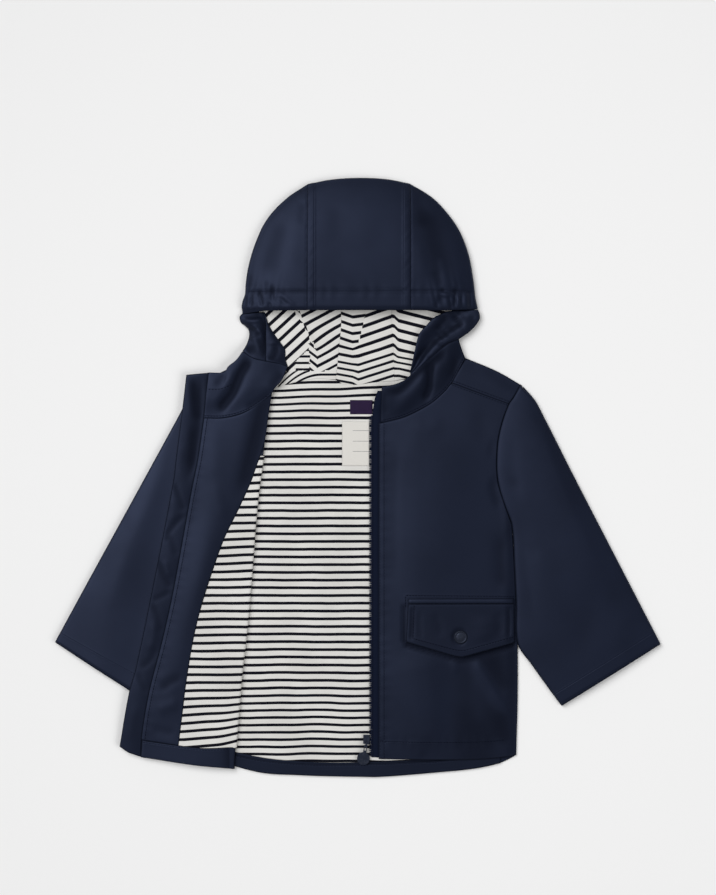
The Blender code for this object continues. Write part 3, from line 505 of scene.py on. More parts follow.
def cloth(name, sides, top, finish, wall=COATED, cell=CELL, inset=INSET,
          folds=(), stitched=(), phase=None, roll=(ROLL, ROLL, ROLL, ROLL), extra=None):
    """A piece over four sides: top(x, y, u, v) is the height of its upper face."""
    west, east, south, north = [[Vector(p) for p in side] for side in sides]
    across = spread((length_of(south) + length_of(north)) / 2, cell)
    along = spread((length_of(west) + length_of(east)) / 2, cell)
    net = patch(west, east, south, north, across, along)
    cols = len(across) - 1
    rows = len(along) - 1
    widths = [length_of(row) for row in net]
    heights = [length_of([net[j][i] for j in range(rows + 1)]) for i in range(cols + 1)]
    bm, corners = net_of(cols, rows, lambda i, j: net[j][i].to_3d())
    marks = {}
    for (i, j), vert in corners.items():
        u = across[i]
        v = along[j]
        gaps = (u * widths[j], (1 - u) * widths[j], v * heights[i], (1 - v) * heights[i])
        x, y = draw_in(net, i, j, cols, rows, inset)
        relief = folds_at(folds, x, y) + (extra(x, y, u, v) if extra else 0.0)
        z = top(x, y, u, v) + relief
        for gap, depth in zip(gaps, roll):
            z -= depth * max(0.0, 1 - gap / 1.6) ** 2
        vert.co = (x, y, z)
        marks[vert] = (stitch_at(stitched, x, y), min(gaps), smooth(-relief / CREASE_DEPTH))
    face_up(bm)
    return sewn(name, bm, wall, -1.0, finish, marks, phase)


def draw_in(net, i, j, cols, rows, inset):
    """A border corner of the net, moved inwards in plan."""
    spot = net[j][i].copy()
    if i == 0 and cols:
        spot += (net[j][1] - net[j][0]).normalized() * inset
    if i == cols:
        spot += (net[j][cols - 1] - net[j][cols]).normalized() * inset
    if j == 0:
        spot += (net[1][i] - net[0][i]).normalized() * inset
    if j == rows:
        spot += (net[rows - 1][i] - net[rows][i]).normalized() * inset
    return spot.x, spot.y


# %% [markdown]
# ## Cloth folded over on itself
#
# The opened front, its lining and the hood panels are cloth folded over along a line: a lower leaf, a
# round bend and an upper leaf. One net runs through all three, so the fold has no seam in it.

# %% Folded cloth and sleeves
BEND_STEPS = 8


def outward_from(edge, other):
    """For each point of an edge, the way out in plan, away from the other edge."""
    made = []
    last = len(edge) - 1
    for j in range(last + 1):
        along = edge[min(j + 1, last)] - edge[max(j - 1, 0)]
        normal = Vector((along.y, -along.x)).normalized()
        if normal.dot(edge[j] - other[j]) < 0:
            normal = -normal
        made.append(normal)
    return made


def folded(name, low, high, bend_line, finish, back_off, wall=COATED, cell=CELL,
           cell_low=8.0, folds=(), stitched=(), phase=None, extra=None, upright=(False, False)):
    """low and high are (far side, first end, last end, height function); ends run from far to fold."""
    along = spread(length_of(bend_line), cell)
    bend = at_shares(bend_line, along)
    far = at_shares([Vector(p) for p in low[0]], along)
    outward = outward_from(bend, far)
    for j, share in enumerate(along):
        for ends_up, from_end in zip(upright, (share, 1 - share)):
            if ends_up:
                lean = max(0.0, 1 - from_end * length_of(bend) / 14)
                outward[j] = outward[j].lerp(Vector((0, 1)), lean).normalized()
    inner = [p - n * back_off for p, n in zip(bend, outward)]
    low_shares = spread((length_of(low[1]) + length_of(low[2])) / 2, cell_low)
    high_shares = spread(max(length_of(high[1]), length_of(high[2])), cell)
    under = filled(at_shares(straight(*low[0]), along), inner, straight(*low[1]), straight(*low[2]), low_shares, along)
    over = filled(at_shares(straight(*high[0]), along), inner, straight(*high[1]), straight(*high[2]), high_shares, along)
    under_cols = len(low_shares) - 1
    over_cols = len(high_shares) - 1
    cols = under_cols + BEND_STEPS + over_cols
    rows = len(along) - 1
    widths = [length_of(row) for row in over]
    marks_at = {}

    def relief(spot):
        return folds_at(folds, spot.x, spot.y) + (extra(spot.x, spot.y) if extra else 0.0)

    def place(i, j):
        if i <= under_cols:
            spot = under[j][i]
            marks_at[i, j] = (FAR, FAR, 0.0)
            return spot.to_3d() + Vector((0, 0, low[3](spot.x, spot.y)))
        if i >= under_cols + BEND_STEPS:
            k = over_cols - (i - under_cols - BEND_STEPS)
            spot = over[j][k]
            edge = min(high_shares[k] * widths[j], back_off + (1 - high_shares[k]) * widths[j])
            rise = relief(spot)
            marks_at[i, j] = (stitch_at(stitched, spot.x, spot.y), edge, smooth(-rise / CREASE_DEPTH))
            return spot.to_3d() + Vector((0, 0, high[3](spot.x, spot.y) + rise))
        spot = inner[j]
        base = low[3](spot.x, spot.y)
        top = high[3](spot.x, spot.y) + relief(spot)
        radius = (top - base) / 2
        turn = -math.pi / 2 + math.pi * (i - under_cols) / BEND_STEPS
        out = outward[j] * (min(radius, back_off) * math.cos(turn))
        marks_at[i, j] = (FAR, back_off * (1 - math.cos(turn)), 0.0)
        return (spot + out).to_3d() + Vector((0, 0, (base + top) / 2 + radius * math.sin(turn)))

    bm, corners = net_of(cols, rows, place)
    marks = {vert: marks_at[place_of] for place_of, vert in corners.items()}
    face_up(bm)
    lower = max(length_of(row) for row in under)
    upper = max(widths)
    flat = (lower + upper + math.pi * back_off, max(length_of(bend), length_of(far)))
    return sewn(name, bm, wall, 0.0, finish, marks, phase)


def refined(points, per):
    """A coarse line made smooth, with `per` steps between two of its points."""
    return through(points, per)


def cut_line(*names, mirror=False):
    """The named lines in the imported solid's own few steps."""
    made = []
    for name in names:
        steps, marks = LINES[name.lstrip("-")]
        part = even(through(marks), steps)
        if name.startswith("-"):
            part.reverse()
        made += part if not made else part[1:]
    return mirrored(made) if mirror else made


SLEEVE_TOP = 6.0
ARM_GAP = -0.1
TURNED_HEM = 14.0


def sleeve(name, out_side, in_side, cuff, finish, puff, folds, cuff_stitch, shown):
    """A sleeve pressed flat: two leaves joined by a round bend down both edges, hem turned inside."""
    per = 6
    out_side = refined(out_side, per)
    in_side = refined(in_side, per)
    rows = len(out_side) - 1
    away_out = outward_from(out_side, in_side)
    away_in = outward_from(in_side, out_side)
    full = (SLEEVE_TOP - COATED) / 2
    radii = [min(full, max(0.9, 0.3 * (a - b).length - COATED / 2)) for a, b in zip(out_side, in_side)]
    starts = [p - n * (r + COATED / 2) for p, n, r in zip(out_side, away_out, radii)]
    stops = [p - n * (r + COATED / 2 + ARM_GAP) for p, n, r in zip(in_side, away_in, radii)]
    across = spread(length_of(cuff), CELL)
    shares = [j / rows for j in range(rows + 1)]
    net = filled(starts, stops, [starts[0], stops[0]], cuff, across, shares)
    cols = len(across) - 1
    loop = 2 * (cols + BEND_STEPS)
    turned = 4
    marks_at = {}

    def place(i, j):
        i = i % loop
        inside = max(0, j - rows)
        j = min(j, rows)
        shrink = 1.1 if inside else 0.0
        step_back = TURNED_HEM * max(0, inside - 1) / (turned - 1)
        radius = max(0.4, radii[j] - shrink)
        middle = radii[j] + COATED / 2
        v = shares[j]
        edge = FAR
        deep = 0.0
        if i <= cols:
            spot, height, u = net[j][i], -radius, across[i]
        elif i < cols + BEND_STEPS:
            turn = -math.pi / 2 + math.pi * (i - cols) / BEND_STEPS
            spot = net[j][cols] + away_in[j] * (radius * math.cos(turn))
            edge = radius * (1 - math.cos(turn))
            height, u = radius * math.sin(turn), 1.0
        elif i <= 2 * cols + BEND_STEPS:
            k = 2 * cols + BEND_STEPS - i
            spot, height, u = net[j][k], radius, across[k]
            soft = folds_at(folds, spot.x, spot.y) * smooth(4 * u) * smooth(4 - 4 * u)
            height += (puff(u, v) + soft) * shown(spot.x, spot.y)
            edge = min(FAR, (net[rows][k] - spot).length)
            deep = smooth(-soft / CREASE_DEPTH)
        else:
            turn = math.pi / 2 + math.pi * (i - 2 * cols - BEND_STEPS) / BEND_STEPS
            spot = net[j][0] - away_out[j] * (radius * math.cos(turn))
            edge = radius * (1 + math.cos(turn))
            height, u = radius * math.sin(turn), 0.0
        if step_back:
            back = (net[rows - 6][cols // 2] - net[rows][cols // 2]).normalized()
            spot = spot + back * step_back
        stitch = cuff_stitch.near(spot.x, spot.y)[0] if not inside else FAR
        marks_at[i, j + inside] = (stitch, FAR if inside else edge, deep)
        return spot.to_3d() + Vector((0, 0, middle + height))

    bm, corners = net_of(loop, rows + turned, place)
    marks = {vert: marks_at[i % loop, j] for (i, j), vert in corners.items()}
    bmesh.ops.remove_doubles(bm, verts=bm.verts[:], dist=1e-4)
    marks = {vert: value for vert, value in marks.items() if vert.is_valid}
    face_up(bm)
    around = 2 * length_of(cuff) + 2 * math.pi * full
    long = max(length_of(out_side), length_of(in_side)) + TURNED_HEM
    return sewn(name, bm, COATED, 0.0, finish, marks, None)

# %% [markdown]
# ## Finishes shared by many pieces
#
# An effect that several materials need is built once as a shader node group with named inputs. The coated
# cloth has a very fine grain and slow changes of tone. The knit has small loops. Stitching presses a
# narrow groove into whatever it holds. Each group gives out only heights, masks and colours.

# %% Node helpers
def new_group(name, inputs, outputs):
    tree = bpy.data.node_groups.new(name, "ShaderNodeTree")
    kinds = {"value": "NodeSocketFloat", "colour": "NodeSocketColor", "vector": "NodeSocketVector"}
    for label, kind, value in inputs:
        socket = tree.interface.new_socket(name=label, in_out="INPUT", socket_type=kinds[kind])
        if value is not None:
            socket.default_value = value
    for label, kind in outputs:
        tree.interface.new_socket(name=label, in_out="OUTPUT", socket_type=kinds[kind])
    return tree, tree.nodes.new("NodeGroupInput"), tree.nodes.new("NodeGroupOutput")


def node(tree, kind, **settings):
    made = tree.nodes.new(kind)
    for name, value in settings.items():
        if name in made.bl_rna.properties:
            setattr(made, name, value)
    return made


def maths(tree, operation, first, second=None, third=None, clamp=False):
    made = tree.nodes.new("ShaderNodeMath")
    made.operation = operation
    made.use_clamp = clamp
    for i, value in enumerate((first, second, third)):
        if value is None:
            continue
        if isinstance(value, (int, float)):
            made.inputs[i].default_value = value
        else:
            tree.links.new(value, made.inputs[i])
    return made.outputs[0]


def ranged(tree, value, low, high, out_low=0.0, out_high=1.0, smooth_steps=True):
    made = tree.nodes.new("ShaderNodeMapRange")
    made.interpolation_type = "SMOOTHSTEP" if smooth_steps else "LINEAR"
    made.clamp = True
    tree.links.new(value, made.inputs["Value"])
    for label, number in (("From Min", low), ("From Max", high), ("To Min", out_low), ("To Max", out_high)):
        if isinstance(number, (int, float)):
            made.inputs[label].default_value = number
        else:
            tree.links.new(number, made.inputs[label])
    return made.outputs["Result"]


def blend_of(tree, share, first, second):
    """Mix two colours; each is a socket or a colour."""
    made = tree.nodes.new("ShaderNodeMix")
    made.data_type = "RGBA"
    put(tree, made.inputs[0], share)
    put(tree, made.inputs[6], first)
    put(tree, made.inputs[7], second)
    return made.outputs[2]


def put(tree, socket, value):
    if isinstance(value, bpy.types.NodeSocket):
        tree.links.new(value, socket)
    elif isinstance(value, tuple) and len(value) == 3 and socket.type == "RGBA":
        socket.default_value = (*value, 1.0)
    else:
        socket.default_value = value


def noise(tree, vector, scale, detail=3.0, rough=0.5):
    made = tree.nodes.new("ShaderNodeTexNoise")
    tree.links.new(vector, made.inputs["Vector"])
    put(tree, made.inputs["Scale"], scale)
    made.inputs["Detail"].default_value = detail
    made.inputs["Roughness"].default_value = rough
    return made.outputs["Fac"]


# %% Coated grain
grain, given, result = new_group(
    "coated grain",
    [("Grains per metre", "value", 900.0), ("Grain height", "value", 1.0), ("Patches per metre", "value", 14.0)],
    [("Height", "value"), ("Tone", "value"), ("Dust", "value")],
)
place = grain.nodes.new("ShaderNodeTexCoord").outputs["Object"]
fine = noise(grain, place, given.outputs["Grains per metre"], 2.0, 0.6)
cells = node(grain, "ShaderNodeTexVoronoi")
grain.links.new(place, cells.inputs["Vector"])
grain.links.new(maths(grain, "MULTIPLY", given.outputs["Grains per metre"], 1.3), cells.inputs["Scale"])
slow = noise(grain, place, given.outputs["Patches per metre"], 3.0, 0.55)
height = maths(grain, "ADD", maths(grain, "MULTIPLY", fine, 0.6), maths(grain, "MULTIPLY", cells.outputs["Distance"], 0.5))
height = maths(grain, "MULTIPLY", height, given.outputs["Grain height"])
grain.links.new(height, result.inputs["Height"])
grain.links.new(ranged(grain, slow, 0.32, 0.68), result.inputs["Tone"])
specks = noise(grain, place, 2300.0, 1.0, 0.5)
grain.links.new(ranged(grain, specks, 0.69, 0.78), result.inputs["Dust"])

# %% Pressed stitching and turned edges
pressed, given, result = new_group(
    "pressed stitching",
    [("Groove width", "value", 0.7), ("Band width", "value", 3.0), ("Rim width", "value", 1.2)],
    [("Height", "value"), ("Groove", "value"), ("Edge", "value"), ("Rim", "value"), ("Crease", "value")],
)
row_of_stitches = node(pressed, "ShaderNodeAttribute")
row_of_stitches.attribute_name = "stitch"
row_near = node(pressed, "ShaderNodeAttribute")
row_near.attribute_name = "row_near"
from_row = maths(pressed, "ABSOLUTE", row_of_stitches.outputs["Fac"])
from_row = maths(pressed, "ADD", from_row, ranged(pressed, row_near.outputs["Fac"], 2.4, 3.2, 0.0, 30.0))
groove = ranged(pressed, from_row, 0.0, given.outputs["Groove width"], 1.0, 0.0)
band = ranged(pressed, from_row, given.outputs["Groove width"], given.outputs["Band width"], 1.0, 0.0)
border = node(pressed, "ShaderNodeAttribute")
border.attribute_name = "edge"
# Mask near a turned edge, for its rubbing and for a painted highlight.
worn_and_lit = ranged(pressed, border.outputs["Fac"], given.outputs["Rim width"], 3.0, 1.0, 0.0)
pressed.links.new(maths(pressed, "SUBTRACT", maths(pressed, "MULTIPLY", band, 0.35), groove), result.inputs["Height"])
pressed.links.new(groove, result.inputs["Groove"])
pressed.links.new(worn_and_lit, result.inputs["Edge"])
# Rim: a band along the cut edge, which the finishes darken as painted shade.
pressed.links.new(ranged(pressed, border.outputs["Fac"], 0.1, given.outputs["Rim width"], 1.0, 0.0), result.inputs["Rim"])
# Crease depth, which the finishes darken as painted shade.
depth = node(pressed, "ShaderNodeAttribute")
depth.attribute_name = "crease"
pressed.links.new(depth.outputs["Fac"], result.inputs["Crease"])

# %% [markdown]
# ## Coated cloth
#
# Raincoat cloth is a woven base under a thin, nearly matt film. It is a deep navy; each piece gets its own
# copy, made paler or darker as painted light and shade for how much light that piece catches. The navy is
# paler near a turned edge, which is rubbed there and also given a painted highlight. Painted shade darkens
# it in a row of stitches, in creases and on the cut rim of a piece, so that each piece is outlined. The
# gloss itself comes from the shader and the lamps alone.

# %% Coated cloth
def coated(name, painted_light_level=1.0, rough=0.54, gloss=0.42, rim=1.2):
    made = bpy.data.materials.new(name)
    made.use_nodes = True
    tree = made.node_tree
    shader = tree.nodes["Principled BSDF"]
    film = tree.nodes.new("ShaderNodeGroup")
    film.node_tree = grain
    film.inputs["Grains per metre"].default_value = 850.0
    film.inputs["Grain height"].default_value = 1.0
    film.inputs["Patches per metre"].default_value = 11.0
    sewn_in = tree.nodes.new("ShaderNodeGroup")
    sewn_in.node_tree = pressed
    sewn_in.inputs["Rim width"].default_value = rim
    # The piece's own level makes a paler or darker copy of the navy: painted light and shade.
    deep = tuple(painted_light_level * c for c in (0.0036, 0.0052, 0.0120))
    plain = tuple(painted_light_level * c for c in (0.0052, 0.0074, 0.0165))
    rubbed_and_lit = tuple(painted_light_level * c for c in (0.0110, 0.0155, 0.0310))
    colour = blend_of(tree, film.outputs["Tone"], deep, plain)
    # Paler near a turned edge: rubbed there, and a painted highlight.
    colour = blend_of(tree, maths(tree, "MULTIPLY", sewn_in.outputs["Edge"], 0.25), colour, rubbed_and_lit)
    # Painted shade along the cut rim, so that each piece is outlined.
    colour = blend_of(tree, maths(tree, "MULTIPLY", sewn_in.outputs["Rim"], 0.7), colour, (0.0015, 0.002, 0.005))
    # Painted shade in the groove of a row of stitches.
    colour = blend_of(tree, maths(tree, "MULTIPLY", sewn_in.outputs["Groove"], 0.22), colour, (0.002, 0.003, 0.008))
    # Painted shade in creases.
    colour = blend_of(tree, maths(tree, "MULTIPLY", sewn_in.outputs["Crease"], 0.7), colour, (0.0015, 0.002, 0.005))
    colour = blend_of(tree, maths(tree, "MULTIPLY", film.outputs["Dust"], 0.10), colour, (0.05, 0.055, 0.07))
    tree.links.new(colour, shader.inputs["Base Color"])
    uneven = ranged(tree, film.outputs["Tone"], 0.0, 1.0, rough + 0.03, rough - 0.03, False)
    sunk = maths(tree, "MAXIMUM", sewn_in.outputs["Crease"], sewn_in.outputs["Rim"])
    uneven = maths(tree, "ADD", uneven, maths(tree, "MULTIPLY", sunk, 0.30))
    tree.links.new(uneven, shader.inputs["Roughness"])
    shader.inputs["Specular IOR Level"].default_value = gloss
    shader.inputs["Specular Tint"].default_value = (0.45, 0.55, 0.92, 1.0)
    fine_bump = tree.nodes.new("ShaderNodeBump")
    fine_bump.inputs["Strength"].default_value = 0.10
    fine_bump.inputs["Distance"].default_value = 0.0004
    tree.links.new(film.outputs["Height"], fine_bump.inputs["Height"])
    stitch_bump = tree.nodes.new("ShaderNodeBump")
    stitch_bump.inputs["Strength"].default_value = 0.36
    stitch_bump.inputs["Distance"].default_value = 0.0005
    tree.links.new(sewn_in.outputs["Height"], stitch_bump.inputs["Height"])
    tree.links.new(fine_bump.outputs["Normal"], stitch_bump.inputs["Normal"])
    tree.links.new(stitch_bump.outputs["Normal"], shader.inputs["Normal"])
    return made


# Each piece has its own copy of the navy. The first number makes it paler for pieces that catch more light and darker
# for pieces in shade, as painted light and shade; the last, where given, is how wide the painted shaded rim is.
body_cloth = coated("coated_body")
hood_cloth = coated("coated_hood", 1.12, 0.55, 0.40, 0.7)
sleeve_cloth = coated("coated_sleeve", 1.08, 0.56, 0.44)
facing_cloth = coated("coated_facing", 1.08, 0.55, 0.47, 0.6)
guard_cloth = coated("coated_guard", 0.90, 0.56, 0.36)
band_cloth = coated("coated_band", 0.88, 0.54, 0.38, 1.5)
casing_cloth = coated("coated_casing", 0.95, 0.54, 0.40, 0.5)
open_sleeve_cloth = coated("coated_open_sleeve", 1.15, 0.55, 0.52)
collar_cloth = coated("coated_collar", 0.85, 0.54, 0.32)
print("coated finishes:", 9)

# %% [markdown]
# ## Striped knit
#
# The lining is a soft cotton jersey: off-white with narrow, nearly black stripes that are knitted in, so
# their edges step from loop to loop. The stripes follow the UV map, whose second number grows by one
# pitch for each stripe. The loops are small bumps, one per wale and course.

# %% Striped knit
STRIPE_PITCH = 0.0081
STRIPE_WIDTH = 0.0031

stripes, given, result = new_group(
    "knitted stripes",
    [("Pitch", "value", STRIPE_PITCH), ("Width", "value", STRIPE_WIDTH), ("Wales per metre", "value", 900.0)],
    [("Stripe", "value"), ("Loops", "value"), ("Pills", "value")],
)
drawn = node(stripes, "ShaderNodeUVMap")
drawn.uv_map = "cloth"
apart = node(stripes, "ShaderNodeSeparateXYZ")
stripes.links.new(drawn.outputs["UV"], apart.inputs["Vector"])
wale = maths(stripes, "MULTIPLY", apart.outputs["X"], given.outputs["Wales per metre"])
course = maths(stripes, "MULTIPLY", apart.outputs["Y"], given.outputs["Wales per metre"])
wander = noise(stripes, drawn.outputs["UV"], 60.0, 2.0)
wander = maths(stripes, "MULTIPLY", maths(stripes, "SUBTRACT", wander, 0.5), 0.0006)
loop_step = maths(stripes, "MULTIPLY", maths(stripes, "ABSOLUTE", maths(stripes, "SINE", maths(stripes, "MULTIPLY", wale, math.pi))), 0.00022)
level = maths(stripes, "ADD", maths(stripes, "ADD", apart.outputs["Y"], wander), loop_step)
beside = maths(stripes, "PINGPONG", level, maths(stripes, "MULTIPLY", given.outputs["Pitch"], 0.5))
half = maths(stripes, "MULTIPLY", given.outputs["Width"], 0.5)
stripe = ranged(stripes, beside, maths(stripes, "SUBTRACT", half, 0.00012), maths(stripes, "ADD", half, 0.00012), 1.0, 0.0)
stripes.links.new(stripe, result.inputs["Stripe"])
across_loop = maths(stripes, "ABSOLUTE", maths(stripes, "SINE", maths(stripes, "MULTIPLY", wale, math.pi)))
slanted = maths(stripes, "ADD", maths(stripes, "MULTIPLY", course, 1.35), maths(stripes, "MULTIPLY", across_loop, 0.35))
along_loop = maths(stripes, "ABSOLUTE", maths(stripes, "SINE", maths(stripes, "MULTIPLY", slanted, math.pi)))
loops = maths(stripes, "ADD", maths(stripes, "MULTIPLY", across_loop, 0.6), maths(stripes, "MULTIPLY", along_loop, 0.4))
stripes.links.new(loops, result.inputs["Loops"])
fuzz = noise(stripes, drawn.outputs["UV"], 1900.0, 2.0, 0.7)
stripes.links.new(fuzz, result.inputs["Pills"])


def knitted(name, pitch=STRIPE_PITCH, width=STRIPE_WIDTH):
    made = bpy.data.materials.new(name)
    made.use_nodes = True
    tree = made.node_tree
    shader = tree.nodes["Principled BSDF"]
    yarn = tree.nodes.new("ShaderNodeGroup")
    yarn.node_tree = stripes
    yarn.inputs["Pitch"].default_value = pitch
    yarn.inputs["Width"].default_value = width
    yarn.inputs["Wales per metre"].default_value = 900.0
    slow = noise(tree, tree.nodes.new("ShaderNodeTexCoord").outputs["Object"], 22.0, 3.0)
    ground = blend_of(tree, ranged(tree, slow, 0.3, 0.7), (0.69, 0.68, 0.655), (0.79, 0.78, 0.755))
    ground = blend_of(tree, ranged(tree, yarn.outputs["Loops"], 0.0, 0.55), (0.52, 0.505, 0.48), ground)
    ground = blend_of(tree, maths(tree, "MULTIPLY", yarn.outputs["Pills"], 0.10), ground, (0.9, 0.89, 0.86))
    dark = blend_of(tree, ranged(tree, yarn.outputs["Loops"], 0.0, 0.6), (0.0008, 0.0010, 0.0030), (0.0028, 0.0032, 0.0085))
    tree.links.new(blend_of(tree, yarn.outputs["Stripe"], ground, dark), shader.inputs["Base Color"])
    tree.links.new(ranged(tree, yarn.outputs["Pills"], 0.2, 0.8, 0.88, 0.96), shader.inputs["Roughness"])
    shader.inputs["Specular IOR Level"].default_value = 0.2
    bump = tree.nodes.new("ShaderNodeBump")
    bump.inputs["Strength"].default_value = 0.45
    bump.inputs["Distance"].default_value = 0.00035
    height = maths(tree, "ADD", yarn.outputs["Loops"], maths(tree, "MULTIPLY", yarn.outputs["Pills"], 0.4))
    tree.links.new(height, bump.inputs["Height"])
    tree.links.new(bump.outputs["Normal"], shader.inputs["Normal"])
    return made


knit = knitted("striped_knit")

# %% [markdown]
# ## Tape, labels, thread and metal
#
# The zip tape and the small woven label are plain weaves: threads pass over and under in a fine
# checker. The name label is a printed cotton tape with three empty rules. The slider and its pull are
# cast metal with a dark, satin plating that is rubbed brighter in small patches.

# %% Plain weave
weave, given, result = new_group(
    "plain weave",
    [("Threads per metre", "value", 1600.0), ("Turn", "value", 0.0)],
    [("Height", "value"), ("Over", "value"), ("Uneven", "value")],
)
spot = weave.nodes.new("ShaderNodeTexCoord").outputs["Object"]
parts = node(weave, "ShaderNodeSeparateXYZ")
weave.links.new(spot, parts.inputs["Vector"])
turned_x = maths(weave, "MULTIPLY", parts.outputs["X"], given.outputs["Threads per metre"])
turned_y = maths(weave, "MULTIPLY", parts.outputs["Y"], given.outputs["Threads per metre"])
warp = maths(weave, "SINE", maths(weave, "MULTIPLY", turned_x, math.pi))
weft = maths(weave, "SINE", maths(weave, "MULTIPLY", turned_y, math.pi))
over = maths(weave, "MULTIPLY", warp, weft)
weave.links.new(maths(weave, "ADD", maths(weave, "MULTIPLY", over, 0.5), 0.5), result.inputs["Over"])
weave.links.new(maths(weave, "ABSOLUTE", over), result.inputs["Height"])
weave.links.new(noise(weave, spot, 240.0, 3.0), result.inputs["Uneven"])


def woven(name, low, high, threads, rough=0.8, strength=0.5, gloss=0.3):
    made = bpy.data.materials.new(name)
    made.use_nodes = True
    tree = made.node_tree
    shader = tree.nodes["Principled BSDF"]
    threads_of = tree.nodes.new("ShaderNodeGroup")
    threads_of.node_tree = weave
    threads_of.inputs["Threads per metre"].default_value = threads
    colour = blend_of(tree, threads_of.outputs["Over"], low, high)
    lighter = tuple(min(1.0, 1.25 * c) for c in high)
    colour = blend_of(tree, maths(tree, "MULTIPLY", ranged(tree, threads_of.outputs["Uneven"], 0.35, 0.7), 0.4), colour, lighter)
    tree.links.new(colour, shader.inputs["Base Color"])
    tree.links.new(ranged(tree, threads_of.outputs["Uneven"], 0.3, 0.7, rough - 0.06, rough + 0.06), shader.inputs["Roughness"])
    shader.inputs["Specular IOR Level"].default_value = gloss
    shader.inputs["Specular Tint"].default_value = (*(min(1.0, 45 * c) for c in high), 1.0)
    bump = tree.nodes.new("ShaderNodeBump")
    bump.inputs["Strength"].default_value = strength
    bump.inputs["Distance"].default_value = 0.0002
    tree.links.new(threads_of.outputs["Height"], bump.inputs["Height"])
    tree.links.new(bump.outputs["Normal"], shader.inputs["Normal"])
    return made


tape_weave = woven("zip_tape_weave", (0.0035, 0.0050, 0.0120), (0.0060, 0.0085, 0.0190), 1500.0)
label_weave = woven("label_satin", (0.009, 0.006, 0.020), (0.018, 0.011, 0.038), 2400.0, 0.6)
thread = woven("sewing_thread", (0.0012, 0.0018, 0.0050), (0.0040, 0.0055, 0.0130), 3200.0, 0.8, 0.3, 0.08)
moulded = woven("moulded_teeth", (0.0035, 0.0048, 0.0115), (0.0070, 0.0092, 0.0200), 500.0, 0.50, 0.1)

# %% Printed cotton label
label_cotton = bpy.data.materials.new("label_cotton")
label_cotton.use_nodes = True
tree = label_cotton.node_tree
shader = tree.nodes["Principled BSDF"]
cotton = tree.nodes.new("ShaderNodeGroup")
cotton.node_tree = weave
cotton.inputs["Threads per metre"].default_value = 2600.0
ground = blend_of(tree, cotton.outputs["Over"], (0.68, 0.66, 0.62), (0.79, 0.77, 0.73))
spot = tree.nodes.new("ShaderNodeTexCoord").outputs["Object"]
parts = node(tree, "ShaderNodeSeparateXYZ")
tree.links.new(spot, parts.inputs["Vector"])
label_low, label_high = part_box("name_label")
ruled = None
for rule in (0.0494, 0.0383, 0.0276):
    off = maths(tree, "ABSOLUTE", maths(tree, "SUBTRACT", parts.outputs["Y"], rule))
    inked = ranged(tree, off, 0.00012, 0.00030, 1.0, 0.0)
    ruled = inked if ruled is None else maths(tree, "MAXIMUM", ruled, inked)
from_left = ranged(tree, parts.outputs["X"], label_low.x + 0.011, label_low.x + 0.0115)
ruled = maths(tree, "MULTIPLY", ruled, from_left)
ink = maths(tree, "MULTIPLY", ruled, ranged(tree, cotton.outputs["Uneven"], 0.2, 0.5, 0.55, 0.9))
tree.links.new(blend_of(tree, ink, ground, (0.10, 0.10, 0.12)), shader.inputs["Base Color"])
tree.links.new(ranged(tree, cotton.outputs["Uneven"], 0.3, 0.7, 0.78, 0.88), shader.inputs["Roughness"])
bump = tree.nodes.new("ShaderNodeBump")
bump.inputs["Strength"].default_value = 0.4
bump.inputs["Distance"].default_value = 0.00015
tree.links.new(cotton.outputs["Height"], bump.inputs["Height"])
tree.links.new(bump.outputs["Normal"], shader.inputs["Normal"])

# %% Dark satin plating
plating, given, result = new_group(
    "satin plating",
    [("Grain per metre", "value", 3500.0), ("Patches per metre", "value", 260.0)],
    [("Height", "value"), ("Rubbed", "value")],
)
spot = plating.nodes.new("ShaderNodeTexCoord").outputs["Object"]
plating.links.new(noise(plating, spot, given.outputs["Grain per metre"], 2.0), result.inputs["Height"])
plating.links.new(ranged(plating, noise(plating, spot, given.outputs["Patches per metre"], 4.0, 0.6), 0.42, 0.66), result.inputs["Rubbed"])


def plated(name, dark, bright, rough, metal=0.55):
    made = bpy.data.materials.new(name)
    made.use_nodes = True
    tree = made.node_tree
    shader = tree.nodes["Principled BSDF"]
    layer = tree.nodes.new("ShaderNodeGroup")
    layer.node_tree = plating
    tree.links.new(blend_of(tree, layer.outputs["Rubbed"], dark, bright), shader.inputs["Base Color"])
    tree.links.new(ranged(tree, layer.outputs["Rubbed"], 0.0, 1.0, rough + 0.06, rough - 0.04), shader.inputs["Roughness"])
    shader.inputs["Metallic"].default_value = metal
    shader.inputs["Specular Tint"].default_value = (0.6, 0.7, 1.0, 1.0)
    bump = tree.nodes.new("ShaderNodeBump")
    bump.inputs["Strength"].default_value = 0.12
    bump.inputs["Distance"].default_value = 0.0001
    tree.links.new(layer.outputs["Height"], bump.inputs["Height"])
    tree.links.new(bump.outputs["Normal"], shader.inputs["Normal"])
    return made


slider_metal = plated("slider_plating", (0.010, 0.013, 0.023), (0.024, 0.028, 0.043), 0.50, 0.3)
pull_metal = plated("pull_plating", (0.022, 0.027, 0.044), (0.043, 0.050, 0.074), 0.42)
snap_metal = plated("snap_enamel", (0.017, 0.021, 0.034), (0.027, 0.032, 0.050), 0.50)

# %% [markdown]
# The board is a little paler at the end that's far from the main lamp, so that it looks evenly lit.

